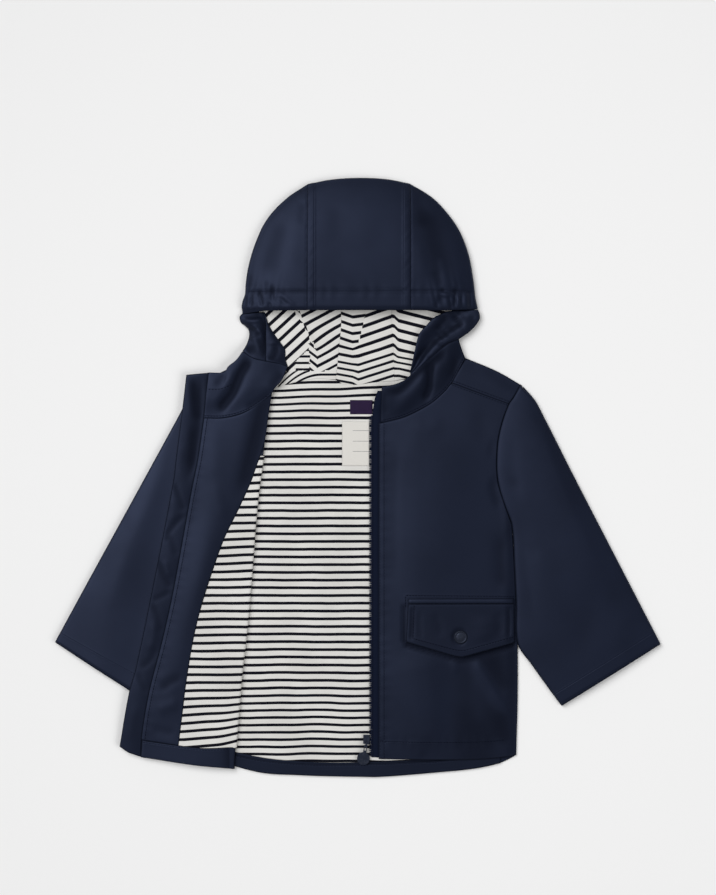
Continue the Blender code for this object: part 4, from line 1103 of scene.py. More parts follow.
# %% Table finish
board = bpy.data.materials.new("pale_board")
board.use_nodes = True
tree = board.node_tree
shader = tree.nodes["Principled BSDF"]
spot = tree.nodes.new("ShaderNodeTexCoord").outputs["Object"]
parts = node(tree, "ShaderNodeSeparateXYZ")
tree.links.new(spot, parts.inputs["Vector"])
away = maths(tree, "SUBTRACT", maths(tree, "MULTIPLY", parts.outputs["X"], 0.714), maths(tree, "MULTIPLY", parts.outputs["Y"], 0.532))
away = maths(tree, "SUBTRACT", 0.484, away, clamp=True)
paler = maths(tree, "SUBTRACT", 1.0, maths(tree, "MULTIPLY", away, away))
paler = maths(tree, "ADD", paler, maths(tree, "MULTIPLY", noise(tree, spot, 3.0, 2.0), 0.04))
tree.links.new(blend_of(tree, paler, (0.812, 0.812, 0.812), (0.948, 0.948, 0.948)), shader.inputs["Base Color"])
shader.inputs["Roughness"].default_value = 0.9
shader.inputs["Specular IOR Level"].default_value = 0.1
table.data.materials.append(board)
print("finishes made:", len(bpy.data.materials))

# %% [markdown]
# ## How the stripes run
#
# The stripes of the lining are level across the back. Near the hem and the neck the knit is a little
# bunched, so they come closer together and wave. A function gives the stripe count at any spot, and the
# UV map holds it, so one material serves all the knit pieces.

# %% Stripe counts
FIRST_STRIPE = 6.2
BACK_PITCH = 8.1


def back_count(x, y, at):
    count = (y - FIRST_STRIPE) / BACK_PITCH
    count += 0.0081 * max(0.0, y - 66)
    count += -0.0075 * max(0.0, -225 - y)
    wave = math.sin(0.052 * x + 0.021 * y) + 0.6 * math.sin(0.117 * x - 0.034 * y + 1.0)
    count += 0.045 * wave * (0.35 + between(-y, 120, 290) + 0.8 * between(y, 30, 90))
    return count - 0.0055 * (x + 20) * between(y, 50, 100)


def front_count(x, y, at):
    """The opened front's lining, whose stripes lift towards the fold near the hem."""
    lift = 7.0 * between(x, -160, -118) ** 2 * between(-y, 205, 275)
    level = y - lift + 1.3 * math.sin(0.06 * x + 0.9) * between(-y, 180, 280)
    count = (level - FIRST_STRIPE + 3.4) / 8.35
    return count + 0.03 * math.sin(0.09 * x + 0.05 * y) - 0.004 * (x + 120) * (1 - between(-y, 60, 200))


def hood_level(y, slant):
    """Stripe count of the hood lining at its left seam, for a stripe that stands this far above it."""
    level = y - slant
    return (level - 149.5) / 10.1 - 0.032 * max(0.0, 132 - level)


def hood_right_count(x, y, at):
    """The right panel: a pleat cuts it from brim to neck, and a fold lies under the pleat's foot."""
    if at.y < 112:
        return (y - 102 + 0.012 * min(0.0, x + 38) ** 2) / 6.3
    if -66 < at.x < -51 and at.y < 134 + min(0.0, at.x + 54):
        return (y - 120.5) / 6.8
    if at.x < -51.5 - 0.58 * max(0.0, at.y - 149):
        return (y - 156.3 - 0.92 * (x + 70)) / 12.9
    rise = 0.52 + 0.15 * math.exp(-(((y - 140) / 14) ** 2))
    slant = rise * (x + 20) - 10
    if at.x < -43 and at.y < 149 - 2.25 * (at.x + 51):
        slant += (rise + 0.9) * (-43 - x)
    return hood_level(y, slant)


def hood_centre_count(x, y, at):
    """The centre panel: its stripes sag between the seams, and a short pleat cuts them at the top."""
    high = between(y, 128, 142)
    seam = -5.0 - 0.158 * (y - 101)
    sag = -3.0 - 2.5 * high
    if x < -6 or (at.y > 140 and at.x < 0.25 * (at.y - 141)):
        return hood_level(y, seam + sag * min(1.0, (x + 20) / 14) + 0.15 * max(0.0, x + 6))
    rest = -0.355 * (36 - max(x, 0.0)) * (0.9 + 0.1 * high)
    return hood_level(y, rest + (seam + sag - rest) * max(0.0, -x / 6))


def hood_left_count(x, y, at):
    return hood_level(y, -5.0 * between(x, 36.5, 43) * between(y, 112, 135) - 0.25 * max(0.0, x - 43))


# %% [markdown]
# ## The back
#
# The back lies on the table, so its underside is flat. On it lie the striped lining, which lifts in low
# waves near the hem, and the turned-up hem band.

# %% The back
SHELL = 1.4
LINING = 1.0
GAP = 0.3
KNIT_FLOOR = SHELL + GAP
OVER_KNIT = KNIT_FLOOR + LINING + GAP

side_open = line("side", "armhole", "yoke_arm", mirror=True)
side_closed = line("side", "armhole", "yoke_arm")
shoulders = line("shoulder", mirror=True)[::-1] + straight((-98.4, 98), (102, 98)) + line("shoulder")
back_sides = (side_open, side_closed, line("back_edge"), shoulders)
cloth("back_shell", back_sides, lambda x, y, u, v: SHELL, body_cloth,
      wall=SHELL, cell=9.0, roll=(0, 0, 0, 0))

knit_east = [Vector(p) for p in LINES["knit_side"][1]]
knit_west = mirrored(knit_east)
knit_north = [knit_west[-1]] + line("knit_neck_open", "knit_neck_mid", "knit_neck_closed")
knit_north += straight((97, 96), (118, 90))
HEM_WAVES = [
    fold([(-60, -296), (-66, -240), (-70, -190)], 1.1, 9, 13),
    fold([(-20, -297), (-14, -255), (-18, -215)], 0.9, 8, 8),
    fold([(-108, -292), (-100, -250), (-98, -200)], 0.8, 7, 9),
    fold([(-90, 92), (-70, 84), (-48, 82)], 0.9, 5, 5),
    fold([(-86, 76), (-60, 74), (-30, 80)], 0.6, 5, 6),
]


def back_knit_top(x, y, u, v):
    soft = 0.35 * math.sin(0.043 * x + 0.017 * y) * math.sin(0.021 * y + 0.4)
    return KNIT_FLOOR + LINING + max(-0.2, soft)


cloth("back_lining", (knit_west, knit_east, line("band_top"), knit_north), back_knit_top, knit,
      wall=KNITTED, folds=HEM_WAVES, phase=back_count)

band_sides = (straight((-152, -296), (-152, -284)), straight((149, -299.3), (150, -284)),
              line("band_low"), line("band_top"))
band_stitch = ChalkLine([p + Vector((0, -1.6)) for p in line("band_top")], smoothed=False)
cloth("back_hem", band_sides, lambda x, y, u, v: KNIT_FLOOR + SHELL, band_cloth,
      stitched=[band_stitch])

# %% [markdown]
# ## The closed front
#
# The closed front is puffed a little by the air under it. It sinks towards the zip, rolls down over the
# sleeve at the side seam, and breaks into short creases at the armhole and under the pocket flap.
# Its hem, zip edge and pocket frame are stitched.

# %% The closed front
FRONT_BASE = 4.3
ARM_BASE = 4.6

FRONT_FOLDS = [
    fold([(92, 60), (88, -10), (80, -95), (82, -128)], 1.0, 30, 34, 0.3),
    fold([(148, 42), (141, 34), (141, 18)], -0.45, 5, 4, 0.35),
    fold([(148, 6), (142, -9), (145, -24), (151, -38)], -1.0, 6, 4, 0.35),
    fold([(153, -36), (156.5, -46), (159, -58)], 0.5, 2.5, 4, 0.25),
    fold([(150, -56), (150, -90), (153, -122)], -1.0, 7, 8, 0.25),
    fold([(126, 76), (130, 52), (138, 30)], -0.4, 9, 9),
    fold([(40, 46), (37, -30), (38, -120)], -0.5, 6, 12, 0.2),
    fold([(119, -186), (132, -206), (146, -230), (158, -252)], 1.8, 4, 9, 0.22),
    fold([(136, -184), (146, -204), (159, -228)], -0.5, 10, 6, 0.3),
    fold([(99, -186), (101, -194), (105, -206)], 0.7, 3, 5, 0.35),
    fold([(66, -176), (72, -215), (73, -262), (70, -292)], 1.5, 15, 26, 0.22),
    fold([(109, -230), (107, -262), (104, -292)], -0.3, 14, 14, 0.3),
    fold([(126, -198), (125, -230), (130, -264)], 0.5, 9, 10, 0.3),
    fold([(146, -228), (151, -252), (155, -284)], -0.9, 7, 10, 0.3),
    fold([(56, -272), (62, -284), (70, -292)], 0.6, 5, 6, 0.3),
    fold([(52, 60), (70, 52), (92, 60)], 0.5, 8, 9),
]
UNDER_FLAP = [
    fold([(48.4, -132), (48.4, -150), (48.2, -173)], -1.6, 1.6, 1.6, 0.03),
    fold([(48, -173), (75, -181), (101, -188.4), (108.5, -189.6), (115, -188), (165, -174)], -2.4, 2.0, 3.2, 0.02),
    fold([(124, -150), (128, -200), (126, -240), (122, -330)], -1.4, 38, 30, 0.2),
]
front_hem_row = ChalkLine([(21, -276.5), (88, -277.5), (130, -277), (153, -275)])
zip_row = ChalkLine([(27.2, -300), (27.2, 57)], smoothed=False)
edge_row = ChalkLine([(22.8, -292), (22.8, 56)], smoothed=False)
yoke_row_low = ChalkLine([p + Vector((-0.6, -1.7)) for p in line("yoke_seam")], smoothed=False)
pocket_row = ChalkLine([(49.6, -136), (49.6, -123.2), (164, -124.6)], smoothed=False)


def front_top(x, y, u=0.0, v=0.0):
    full = between(x, 12, 64) * (1 - 0.95 * between(x, 64, 168))
    chest = 3.3 * full * between(y, -330, -180) * (1 - between(y, 20, 100))
    arm = (ARM_BASE - FRONT_BASE) * between(x, 90, 150)
    roll = 1 - between(x, 153, 172) * (1 - between(y, -60, -15))
    drop = (FRONT_BASE - KNIT_FLOOR) * 1.6 * (1 - roll)
    return SHELL + max(KNIT_FLOOR, FRONT_BASE + chest * roll + arm - drop)


def front_surface(x, y):
    return front_top(x, y) + folds_at(FRONT_FOLDS, x, y)


def front_puckers(x, y, u, v):
    made = puckers(front_hem_row, x, y, 0.16, 11, 7)
    made += puckers(zip_row, x, y, 0.14, 13, 6)
    return made


front_west = straight((21.5, -294.5), (21.5, 57))
front_north = straight((21.5, 57)) + line("front_neck", "yoke_seam")
cloth("left_front", (front_west, line("side", "armhole"), line("front_hem"), front_north), front_top,
      body_cloth, cell=2.6, folds=FRONT_FOLDS + UNDER_FLAP,
      stitched=[front_hem_row, zip_row, edge_row, pocket_row, yoke_row_low], extra=front_puckers)


def yoke_top(x, y, u, v):
    return SHELL + ARM_BASE - (ARM_BASE - KNIT_FLOOR) * between(v, 0.35, 1.1)


yoke_sides = (line("yoke_neck"), line("yoke_arm"), line("yoke_seam"), line("shoulder"))
yoke_row = ChalkLine([p + Vector((0.8, 2.2)) for p in line("yoke_seam")], smoothed=False)
YOKE_FOLDS = [fold([(120, 120), (140, 104), (160, 92)], 0.35, 5, 6)]
cloth("left_yoke", yoke_sides, yoke_top, body_cloth, folds=YOKE_FOLDS,
      stitched=[yoke_row])
cloth("right_yoke", [mirrored(side) for side in yoke_sides],
      lambda x, y, u, v: SHELL + OVER_KNIT - (OVER_KNIT - KNIT_FLOOR) * between(v, 0.35, 1.0),
      body_cloth)

# %% [markdown]
# ## The pocket
#
# It is a false pocket: a narrow folded welt in a stitched frame, and a pointed flap held by a snap. The
# flap follows the front below it and stands a little proud at its lower corners.

# %% The pocket
FLAP_FOLDS = [
    fold([(56.5, -134), (56.6, -152), (55, -171)], -0.9, 2.2, 2.2, 0.15),
    fold([(65, -136), (64, -154), (66, -172)], -0.4, 3, 4, 0.3),
    fold([(78, -140), (84, -152), (88, -168)], -0.4, 4, 5, 0.3),
    fold([(134, -142), (132, -158), (136, -174)], 1.1, 12, 13, 0.4),
    fold([(146, -138), (148, -154), (147, -168)], -0.5, 5, 5, 0.3),
    fold([(158.5, -134), (158.5, -152), (158, -168)], -0.8, 2.2, 2.4, 0.15),
    fold([(160.5, -134), (161.5, -150), (161, -170)], 0.7, 1.6, 1.6, 0.15),
    fold([(105.8 + 6.6 * math.cos(k), -166.5 + 6.6 * math.sin(k)) for k in range(7)], -1.1, 1.5, 1.5, 0.01),
]
flap_rows = [
    ChalkLine([(58.6, -133), (57.2, -168.2), (102, -180.2), (108.4, -181), (114.4, -180), (163, -166.6)], False),
]


def flap_top(x, y, u, v):
    curl = 0.9 * (1 - between(v, 0, 0.55)) * (0.4 + 0.6 * abs(2 * u - 1))
    return front_surface(x, y) + COATED + 0.8 + curl


flap_sides = (straight((50, -171.5), (52, -132.1)), straight((163.6, -172.4), (163.4, -132.1)),
              straight((50, -171.5), (101, -186.5), (108.5, -187.5), (115, -186), (163.6, -172.4)),
              straight((52, -132.1), (163.4, -132.1)))
cloth("pocket_flap", flap_sides, flap_top, band_cloth, cell=1.6,
      folds=FLAP_FOLDS, stitched=flap_rows, roll=(0.5, 0.3, 0.5, 0.1))

WELT_LOW = -131.6
WELT_HIGH = -126.5
welt_across = [i / 40 for i in range(41)]
welt_turn = [(WELT_HIGH, 0.5), (WELT_LOW + 1.0, 0.5), (WELT_LOW + 0.35, 0.7), (WELT_LOW, 1.15),
             (WELT_LOW + 0.3, 1.7), (WELT_LOW + 1.0, 2.05), (-129.2, 2.2), (-127.4, 1.9), (WELT_HIGH, 1.4)]


def welt_place(i, j):
    x = 52.2 + (163.2 - 52.2) * welt_across[i]
    y, rise = welt_turn[j]
    return Vector((x, y, front_surface(x, y) + rise))


bm, corners = net_of(40, len(welt_turn) - 1, welt_place)
face_up(bm)
sewn("pocket_welt", bm, 0.5, -1.0, facing_cloth)

# %% [markdown]
# ## The sleeves
#
# Each sleeve is a tube pressed flat, with a little air left in it. A long soft ridge runs from the
# shoulder to the cuff, and drag lines start at the underarm. The hem is turned inside and stitched.

# %% The sleeves
body_edge = cut_line("-yoke_arm", "-armhole", "-side")[:13]


def sleeve_puff(u, v):
    round_up = math.sin(math.pi * min(1.0, max(0.0, u))) ** 0.8
    return 3.2 * round_up * smooth(v / 0.3) * (1 - 0.3 * between(v, 0.72, 1.0))


CLOSED_SLEEVE_FOLDS = [
    fold([(190, 66), (210, 14), (236, -60), (262, -140)], 1.2, 26, 26, 0.3),
    fold([(160, 60), (154, 14), (155, -24), (164, -90)], -1.3, 11, 7, 0.5),
    fold([(146, -2), (158, -5), (176, -9)], -0.4, 6, 6, 0.5),
    fold([(154, -20), (166, -62), (173, -112), (182, -160)], -1.4, 7, 10, 0.25),
    fold([(166, -70), (178, -73), (192, -80)], -0.5, 4, 5, 0.35),
    fold([(176, -60), (196, -110), (216, -160)], 0.6, 14, 16, 0.4),
    fold([(244, -100), (240, -150), (224, -206)], -0.6, 14, 14, 0.4),
    fold([(284, -130), (276, -160), (264, -190)], 0.5, 10, 12, 0.4),
]
OPEN_SLEEVE_FOLDS = [
    fold([(-192, 50), (-214, -10), (-244, -80), (-270, -150)], 1.2, 26, 30, 0.3),
    fold([(-238, -60), (-256, -110), (-276, -160)], 0.5, 16, 14, 0.4),
    fold([(-222, -110), (-232, -160), (-238, -205)], 0.6, 20, 16, 0.4),
    fold([(-186, 60), (-196, 20), (-206, -20)], -0.4, 7, 9, 0.4),
]
cuff_row = ChalkLine([p + Vector((-7.4, 11.9)) for p in straight((317, -174), (213, -239))], smoothed=False)
sleeve("left_sleeve", cut_line("sleeve_out"), body_edge + cut_line("sleeve_in"), cut_line("cuff"),
       sleeve_cloth, sleeve_puff, CLOSED_SLEEVE_FOLDS, cuff_row, lambda x, y: 1.0)
guard_edge = ChalkLine(line("flap_out"), smoothed=False)
open_cuff_row = ChalkLine([(-312, -162.8), (-200.1, -224.7)], smoothed=False)
sleeve("right_sleeve", cut_line("sleeve_out_open"), mirrored(body_edge) + cut_line("sleeve_in_open"),
       cut_line("cuff_open"), open_sleeve_cloth, sleeve_puff, OPEN_SLEEVE_FOLDS, open_cuff_row,
       lambda x, y: between(guard_edge.near(x, y)[0], -2.0, 44.0))

# %% [markdown]
# ## The opened front
#
# The opened front is folded back on itself, so its lining shows. The coated cloth is inside the fold and
# the knit runs round it. On top lie the wide facing, the hem band and, along the outer edge, the strip
# of cloth that guards the zip, which ripples in long soft waves.

# %% The opened front
FOLD_MID = 6.0
KNIT_BEND = 2.5
SHELL_BEND = 1.0
FOLD_OUT = KNIT_BEND + LINING / 2
LEAF_TOP = FOLD_MID + SHELL_BEND + SHELL / 2
ON_LEAF = LEAF_TOP + GAP


def leaf_sag(x, y):
    return -2.4 * between(-y, 238, 300) * between(-x, 165, 225)


hidden_yoke = straight((-154, 77), (-125, 84), (-91, 86))
far_low = [p + Vector((2.2, 0)) for p in line("side", "armhole", mirror=True)]
fold_line = line("fold")
hem_low = [far_low[0], fold_line[0]]
low_leaf = (far_low, hem_low, hidden_yoke, lambda x, y: FOLD_MID - SHELL_BEND)
high_leaf = (line("zip_line"), line("opened_hem"), line("opened_neck"),
             lambda x, y: FOLD_MID + SHELL_BEND + leaf_sag(x, y))
folded("right_front", low_leaf, high_leaf, fold_line, body_cloth, FOLD_OUT,
       cell=6.0)

coarse_fold = cut_line("fold")
knit_fold = [coarse_fold[0].lerp(coarse_fold[1], 0.68)] + [p for p in coarse_fold if -280 < p.y < 24]
far_knit = straight((-154, -280), (-154, -50), (-141, -20), (-139, 22))
facing_side = [p + Vector((0.5, 0)) for p in line("facing_edge") if p.y <= knit_fold[-1].y + 1]
knit_hem = [p for p in line("opened_band") if p.x > -188] + [knit_fold[0]]
FRONT_KNIT_FOLDS = [
    fold([(-134, -276), (-134, -240), (-131, -200)], 0.8, 6, 7),
    fold([(-158, -276), (-152, -236), (-146, -190)], -0.5, 7, 8),
    fold([(-172, -270), (-168, -240), (-166, -205)], 0.6, 6, 6),
    fold([(-120, -120), (-128, -60), (-118, -20)], 0.4, 9, 9),
]
folded("right_front_lining",
       (far_knit, [far_knit[0], knit_fold[0]], [far_knit[-1], knit_fold[-1]], lambda x, y: FOLD_MID - KNIT_BEND),
       (facing_side, knit_hem, [facing_side[-1], knit_fold[-1]],
        lambda x, y: FOLD_MID + KNIT_BEND + leaf_sag(x, y)),
       refined(knit_fold, 8), knit, FOLD_OUT, wall=KNITTED, folds=FRONT_KNIT_FOLDS,
       phase=front_count)

FACING_FOLDS = [
    fold([(-150, 66), (-152, 30), (-157, -10)], 0.7, 9, 11, 0.3),
    fold([(-146, 60), (-148, 10), (-153, -40), (-166, -100), (-178, -160)], 1.4, 14, 15, 0.25),
    fold([(-88, 124), (-98, 84), (-106, 50), (-114, 20), (-127, -32)], -1.8, 12, 8, 0.25),
    fold([(-160, -4), (-150, -14), (-139, -46)], 0.5, 6, 6, 0.3),
    fold([(-160, 40), (-167, -20), (-181, -80)], -0.5, 7, 8, 0.3),
    fold([(-210, -224), (-196, -213), (-181, -208)], -1.0, 5, 5, 0.3),
    fold([(-212, -244), (-197, -238), (-186, -236)], 0.8, 6, 6, 0.3),
    fold([(-217, -262), (-202, -266), (-190, -268)], -0.5, 4, 5, 0.3),
]
facing_row = ChalkLine([p + Vector((3.9, 0)) for p in line("zip_line")], smoothed=False)


def facing_top(x, y, u, v):
    return ON_LEAF + SHELL + leaf_sag(x, y) + 1.5 * math.sin(math.pi * u) * between(v, 0, 0.2)


facing_sides = ([p for p in line("zip_line") if p.y > -274.5], line("facing_edge", "facing_top"),
                straight((-226, -275), (-189, -280)), line("opened_neck"))
cloth("right_facing", facing_sides, facing_top, facing_cloth, cell=2.6,
      folds=FACING_FOLDS, stitched=[facing_row],
      extra=lambda x, y, u, v: puckers(facing_row, x, y, 0.12, 12, 6))

opened_band_row = ChalkLine([p + Vector((0, -2.0)) for p in line("opened_band")], smoothed=False)
cloth("right_front_hem",
      (straight((-227.5, -292.5), (-226, -275.4)), straight((-129.5, -304.5), (-130.5, -282.4)),
       line("opened_hem"), line("opened_band")),
      lambda x, y, u, v: ON_LEAF + SHELL + leaf_sag(x, y) - 0.9 * between(x, -141, -130), facing_cloth,
      cell=2.6, stitched=[opened_band_row], roll=(0.3, 0.9, 0.3, 0.3),
      folds=[fold([(-127, -276), (-126, -308)], -2.0, 12, 14, 0.01)])

GUARD_FOLDS = [
    fold([(-166, 112), (-169, 50), (-178, -2)], -1.2, 4, 10, 0.2),
    fold([(-173, 106), (-171, 84), (-167, 58)], -0.9, 3, 4, 0.2),
    fold([(-178, 102), (-177, 82), (-177, 60)], 0.4, 3, 3, 0.3),
    fold([(-173, 58), (-174, 22), (-179, -10)], -0.6, 4, 4, 0.25),
    fold([(-184, 40), (-186, 14), (-188, -8)], 0.4, 4, 4, 0.3),
    fold([(-195, -4), (-188, -20), (-181, -37)], -0.9, 3, 3.5, 0.2),
    fold([(-181, -38), (-190, -47), (-203, -63)], -0.8, 3, 3, 0.2),
    fold([(-197, -18), (-194, -36), (-199, -50)], 0.6, 4, 4, 0.3),
    fold([(-207, -66), (-197, -64), (-188, -84)], -0.7, 3, 4, 0.25),
    fold([(-212, -84), (-205, -101), (-194, -117)], -0.9, 3, 3.5, 0.2),
    fold([(-195, -118), (-205, -124), (-218, -129)], -0.6, 3, 3, 0.25),
    fold([(-203, -84), (-200, -96), (-197, -106)], 0.5, 3, 4, 0.3),
    fold([(-218, -130), (-210, -145), (-204, -166)], -0.8, 3.5, 4, 0.25),
    fold([(-216, -148), (-215, -168), (-221, -184)], 0.6, 4, 4, 0.3),
    fold([(-209, -176), (-218, -192), (-230, -201)], -0.6, 3, 4, 0.25),
    fold([(-233, -202), (-227, -216), (-218, -228)], -0.7, 4, 3, 0.3),
    fold([(-231, -232), (-237, -256), (-241, -280)], 0.4, 5, 5, 0.35),
]


def guard_top(x, y, u, v):
    ripple = 0.3 * math.sin(math.pi * u) * (1 + math.sin(y * 0.085 + x * 0.05))
    return LEAF_TOP + 0.3 + leaf_sag(x, y) + ripple + 0.5 * math.sin(math.pi * u)


guard_sides = (line("flap_out"), line("zip_line", "collar_open_out"),
               straight((-250, -281.5), (-241, -287), (-227.5, -291)), straight((-180, 107.5), (-157, 107)))
cloth("wind_flap", guard_sides, guard_top, guard_cloth, cell=2.0,
      folds=GUARD_FOLDS, roll=(0.6, 0.3, 0.4, 0.4))

# %% [markdown]
# ## The collars
#
# The stand collar is open, so each end lies in its own way. On the opened side it breaks into one long
# slanting dip with a bright ridge beside it. On the closed side it rolls up and out from the neck seam.

# %% The collars
OPEN_COLLAR_FOLDS = [
    fold([(-111, 126), (-122, 110), (-127, 98), (-132, 87), (-141, 76), (-146, 66)], -3.0, 4, 5, 0.18),
    fold([(-102, 121), (-113, 102), (-122, 86), (-134, 72)], 0.7, 8, 6, 0.3),
    fold([(-137, 110), (-143, 101), (-147, 95)], -0.9, 3, 4, 0.3),
    fold([(-128, 121), (-136, 104), (-146, 88), (-150, 73)], 0.6, 5, 5, 0.3),
    fold([(-118, 72), (-104, 80), (-91, 88)], -1.2, 3, 3, 0.2),
    fold([(-77, 113), (-86, 100), (-92, 92)], -1.2, 4, 5, 0.3),
    fold([(-150, 108), (-152, 98), (-151, 84)], 0.5, 4, 4, 0.35),
]


def open_collar_top(x, y, u, v):
    slant = (x + 124) * 0.83 - (y - 100) * 0.55
    dip = 0.5 * math.exp(-((slant / 9.0) ** 2)) * between(v, 0.02, 0.3)
    side = 3.4 * between(u, 0.7, 1.0) * between(v, 0.35, 1.0)
    return SHELL + ON_LEAF + 2.4 * between(v, 0, 0.5) * (1 - 0.7 * between(v, 0.6, 1)) - dip - side


open_collar_sides = (line("collar_open_out"), line("collar_open_in"), line("opened_neck"),
                     line("collar_open_top", "casing_end", "facing_end"))
collar_rows = [
    ChalkLine([(-157, 92.5), (-146, 92.5), (-139, 94), (-132, 98)]),
    ChalkLine([p + Vector((0, 2.2)) for p in line("opened_neck")], smoothed=False),
]
cloth("collar_right", open_collar_sides, open_collar_top, facing_cloth,
      cell=2.0, folds=OPEN_COLLAR_FOLDS, stitched=collar_rows)

CLOSED_COLLAR_FOLDS = [
    fold([(76, 122), (75, 106), (74, 93), (67, 79)], -2.6, 3.5, 4.5, 0.2),
    fold([(71, 118), (67, 103), (59, 89), (46, 76), (33, 63)], 1.0, 6, 7, 0.25),
    fold([(87, 123), (86, 106), (82, 91)], 0.8, 7, 6, 0.3),
    fold([(104, 130), (100, 114), (95, 100)], -1.2, 4, 5, 0.3),
    fold([(27, 90), (42, 92), (58, 106), (72, 118), (94, 135)], -1.7, 2.5, 6, 0.15),
    fold([(27, 93), (27, 76), (30, 63)], -0.8, 4, 4, 0.3),
]


def closed_collar_top(x, y, u, v):
    rise = 4.4 * between(v, -0.1, 0.9) * (1 - 0.6 * between(x, 92, 112))
    return SHELL + ARM_BASE + rise


closed_collar_sides = (straight((23.2, 58), (24.6, 95.5)), line("collar_back"),
                       straight((23.2, 58)) + line("front_neck", "yoke_neck"), line("collar_roll", "casing_out"))
neck_row = ChalkLine([p + Vector((-0.8, 2.0)) for p in line("front_neck", "yoke_neck")], smoothed=False)
cloth("collar_left", closed_collar_sides, closed_collar_top, collar_cloth,
      cell=2.0, folds=CLOSED_COLLAR_FOLDS, stitched=[neck_row])

# %% [markdown]
# ## The gathered casing
#
# An elastic runs in a casing down both sides of the face opening and through the hood's brim ends. It
# gathers the cloth into short, uneven folds across the casing.

# %% The gathered casing
def gathers(chalk, x, y, height, spacing, width):
    """Folds across a casing: sharp little valleys between rounder crests."""
    aside, share = chalk.near(x, y)
    wave = uneven_wave(share * chalk.length, spacing)
    crest = wave if wave > 0 else -(abs(wave) ** 0.6) * 1.15
    return height * crest * math.exp(-((aside / width) ** 4))


closed_casing_mid = ChalkLine([(54, 109), (66, 122), (78, 138), (90, 152), (104, 163), (117, 170)])


CLOSED_CASING_FOLDS = [
    fold([(57, 119), (68, 131), (82, 144), (95, 154), (110, 163)], -1.7, 3.0, 2.0, 0.15),
    fold([(84, 144), (88, 139), (91, 134)], -0.8, 1.8, 1.8, 0.3),
    fold([(80, 141), (84, 136), (88, 131)], 0.5, 1.8, 1.8, 0.3),
    fold([(71, 131), (75, 126), (79, 122)], -0.7, 1.8, 1.8, 0.3),
    fold([(95, 152), (100, 147), (104, 142)], -0.7, 1.8, 1.8, 0.3),
    fold([(92, 172), (88, 163), (80, 153)], -1.4, 3.0, 3.0, 0.2),
    fold([(85, 170), (80, 162), (74, 154)], 0.7, 3.0, 3.0, 0.3),
    fold([(101, 171), (104, 163), (107, 156)], -1.3, 2.4, 2.4, 0.25),
    fold([(107, 171), (111, 163), (115, 155)], 1.2, 2.4, 2.0, 0.3),
    fold([(118, 172), (120, 165), (121, 158)], -0.9, 2.0, 2.0, 0.3),
]


def closed_casing_top(x, y, u, v):
    inner = 4.0 * (1 - between(u, 0.04, 0.45))
    outer = 4.6 * between(u, 0.48, 0.74) - 1.2 * between(u, 0.9, 1)
    lower = 1 - 0.55 * between(v, 0.75, 1)
    return SHELL + OVER_KNIT + 0.3 + (inner + outer) * lower * between(v, -0.25, 0.3)


def closed_casing_gathers(x, y, u, v):
    strength = math.sin(math.pi * u) * (0.2 + 0.8 * between(v, 0.2, 0.55))
    return gathers(closed_casing_mid, x, y, 0.3, 8.5, 24) * strength


cloth("casing_left",
      (line("casing_in"), line("casing_out", "casing_tip"), straight((54.5, 112), (54.5, 106)),
       line("casing_brim")),
      closed_casing_top, casing_cloth, cell=1.3,
      extra=closed_casing_gathers, folds=CLOSED_CASING_FOLDS,
      stitched=[ChalkLine([p + Vector((-1.1, 1.2)) for p in line("casing_out")], smoothed=False)])

open_casing_mid = ChalkLine([(-109, 128), (-106, 142), (-108, 156), (-112, 172)])


def open_casing_top(x, y, u, v):
    bulge = math.sin(math.pi * (0.02 + 0.76 * u))
    rest = KNIT_FLOOR + 4.8 * between(v, 0.45, 0.0)
    return SHELL + rest + (1 - 0.5 * between(v, 0.8, 1)) * 5.2 * bulge * (1 - 0.6 * between(v, 0.45, 0.0))


OPEN_CASING_FOLDS = [
    fold([(-121, 165), (-111, 164.5), (-99, 166)], 1.3, 2.0, 3.0, 0.25),
    fold([(-122, 170), (-112, 169.5), (-100, 171)], -1.0, 2.0, 2.0, 0.25),
    fold([(-117, 160), (-108, 152), (-99, 138)], -0.9, 2.6, 3.0, 0.25),
    fold([(-112, 161), (-104, 154), (-98, 146)], 0.8, 2.4, 2.4, 0.3),
    fold([(-115, 150), (-108, 142), (-101, 128)], 0.7, 2.8, 2.8, 0.3),
    fold([(-118, 134), (-108, 137), (-98, 135)], -1.3, 5.0, 7.0, 0.2),
    fold([(-99, 124), (-97, 146), (-99, 168)], -1.6, 2.6, 4.5, 0.2),
]


def open_casing_gathers(x, y, u, v):
    return gathers(open_casing_mid, x, y, 0.22, 8.0, 20) * math.sin(math.pi * u) * (0.4 + 0.6 * between(v, 0.1, 0.4))


cloth("casing_right",
      (line("casing_open_out"), line("casing_crease"), line("casing_end"), line("brim_open_end")),
      open_casing_top, casing_cloth, cell=1.3,
      extra=open_casing_gathers, folds=OPEN_CASING_FOLDS)


def casing_facing_top(x, y, u, v):
    start = KNIT_FLOOR + 5.2 * math.sin(math.pi * 0.78) * (1 - 0.5 * between(v, 0.8, 1))
    start += 3.0 * between(v, 0.3, 0.0)
    return SHELL + OVER_KNIT + (start - OVER_KNIT) * (1 - u) + 1.3 * math.sin(math.pi * u)


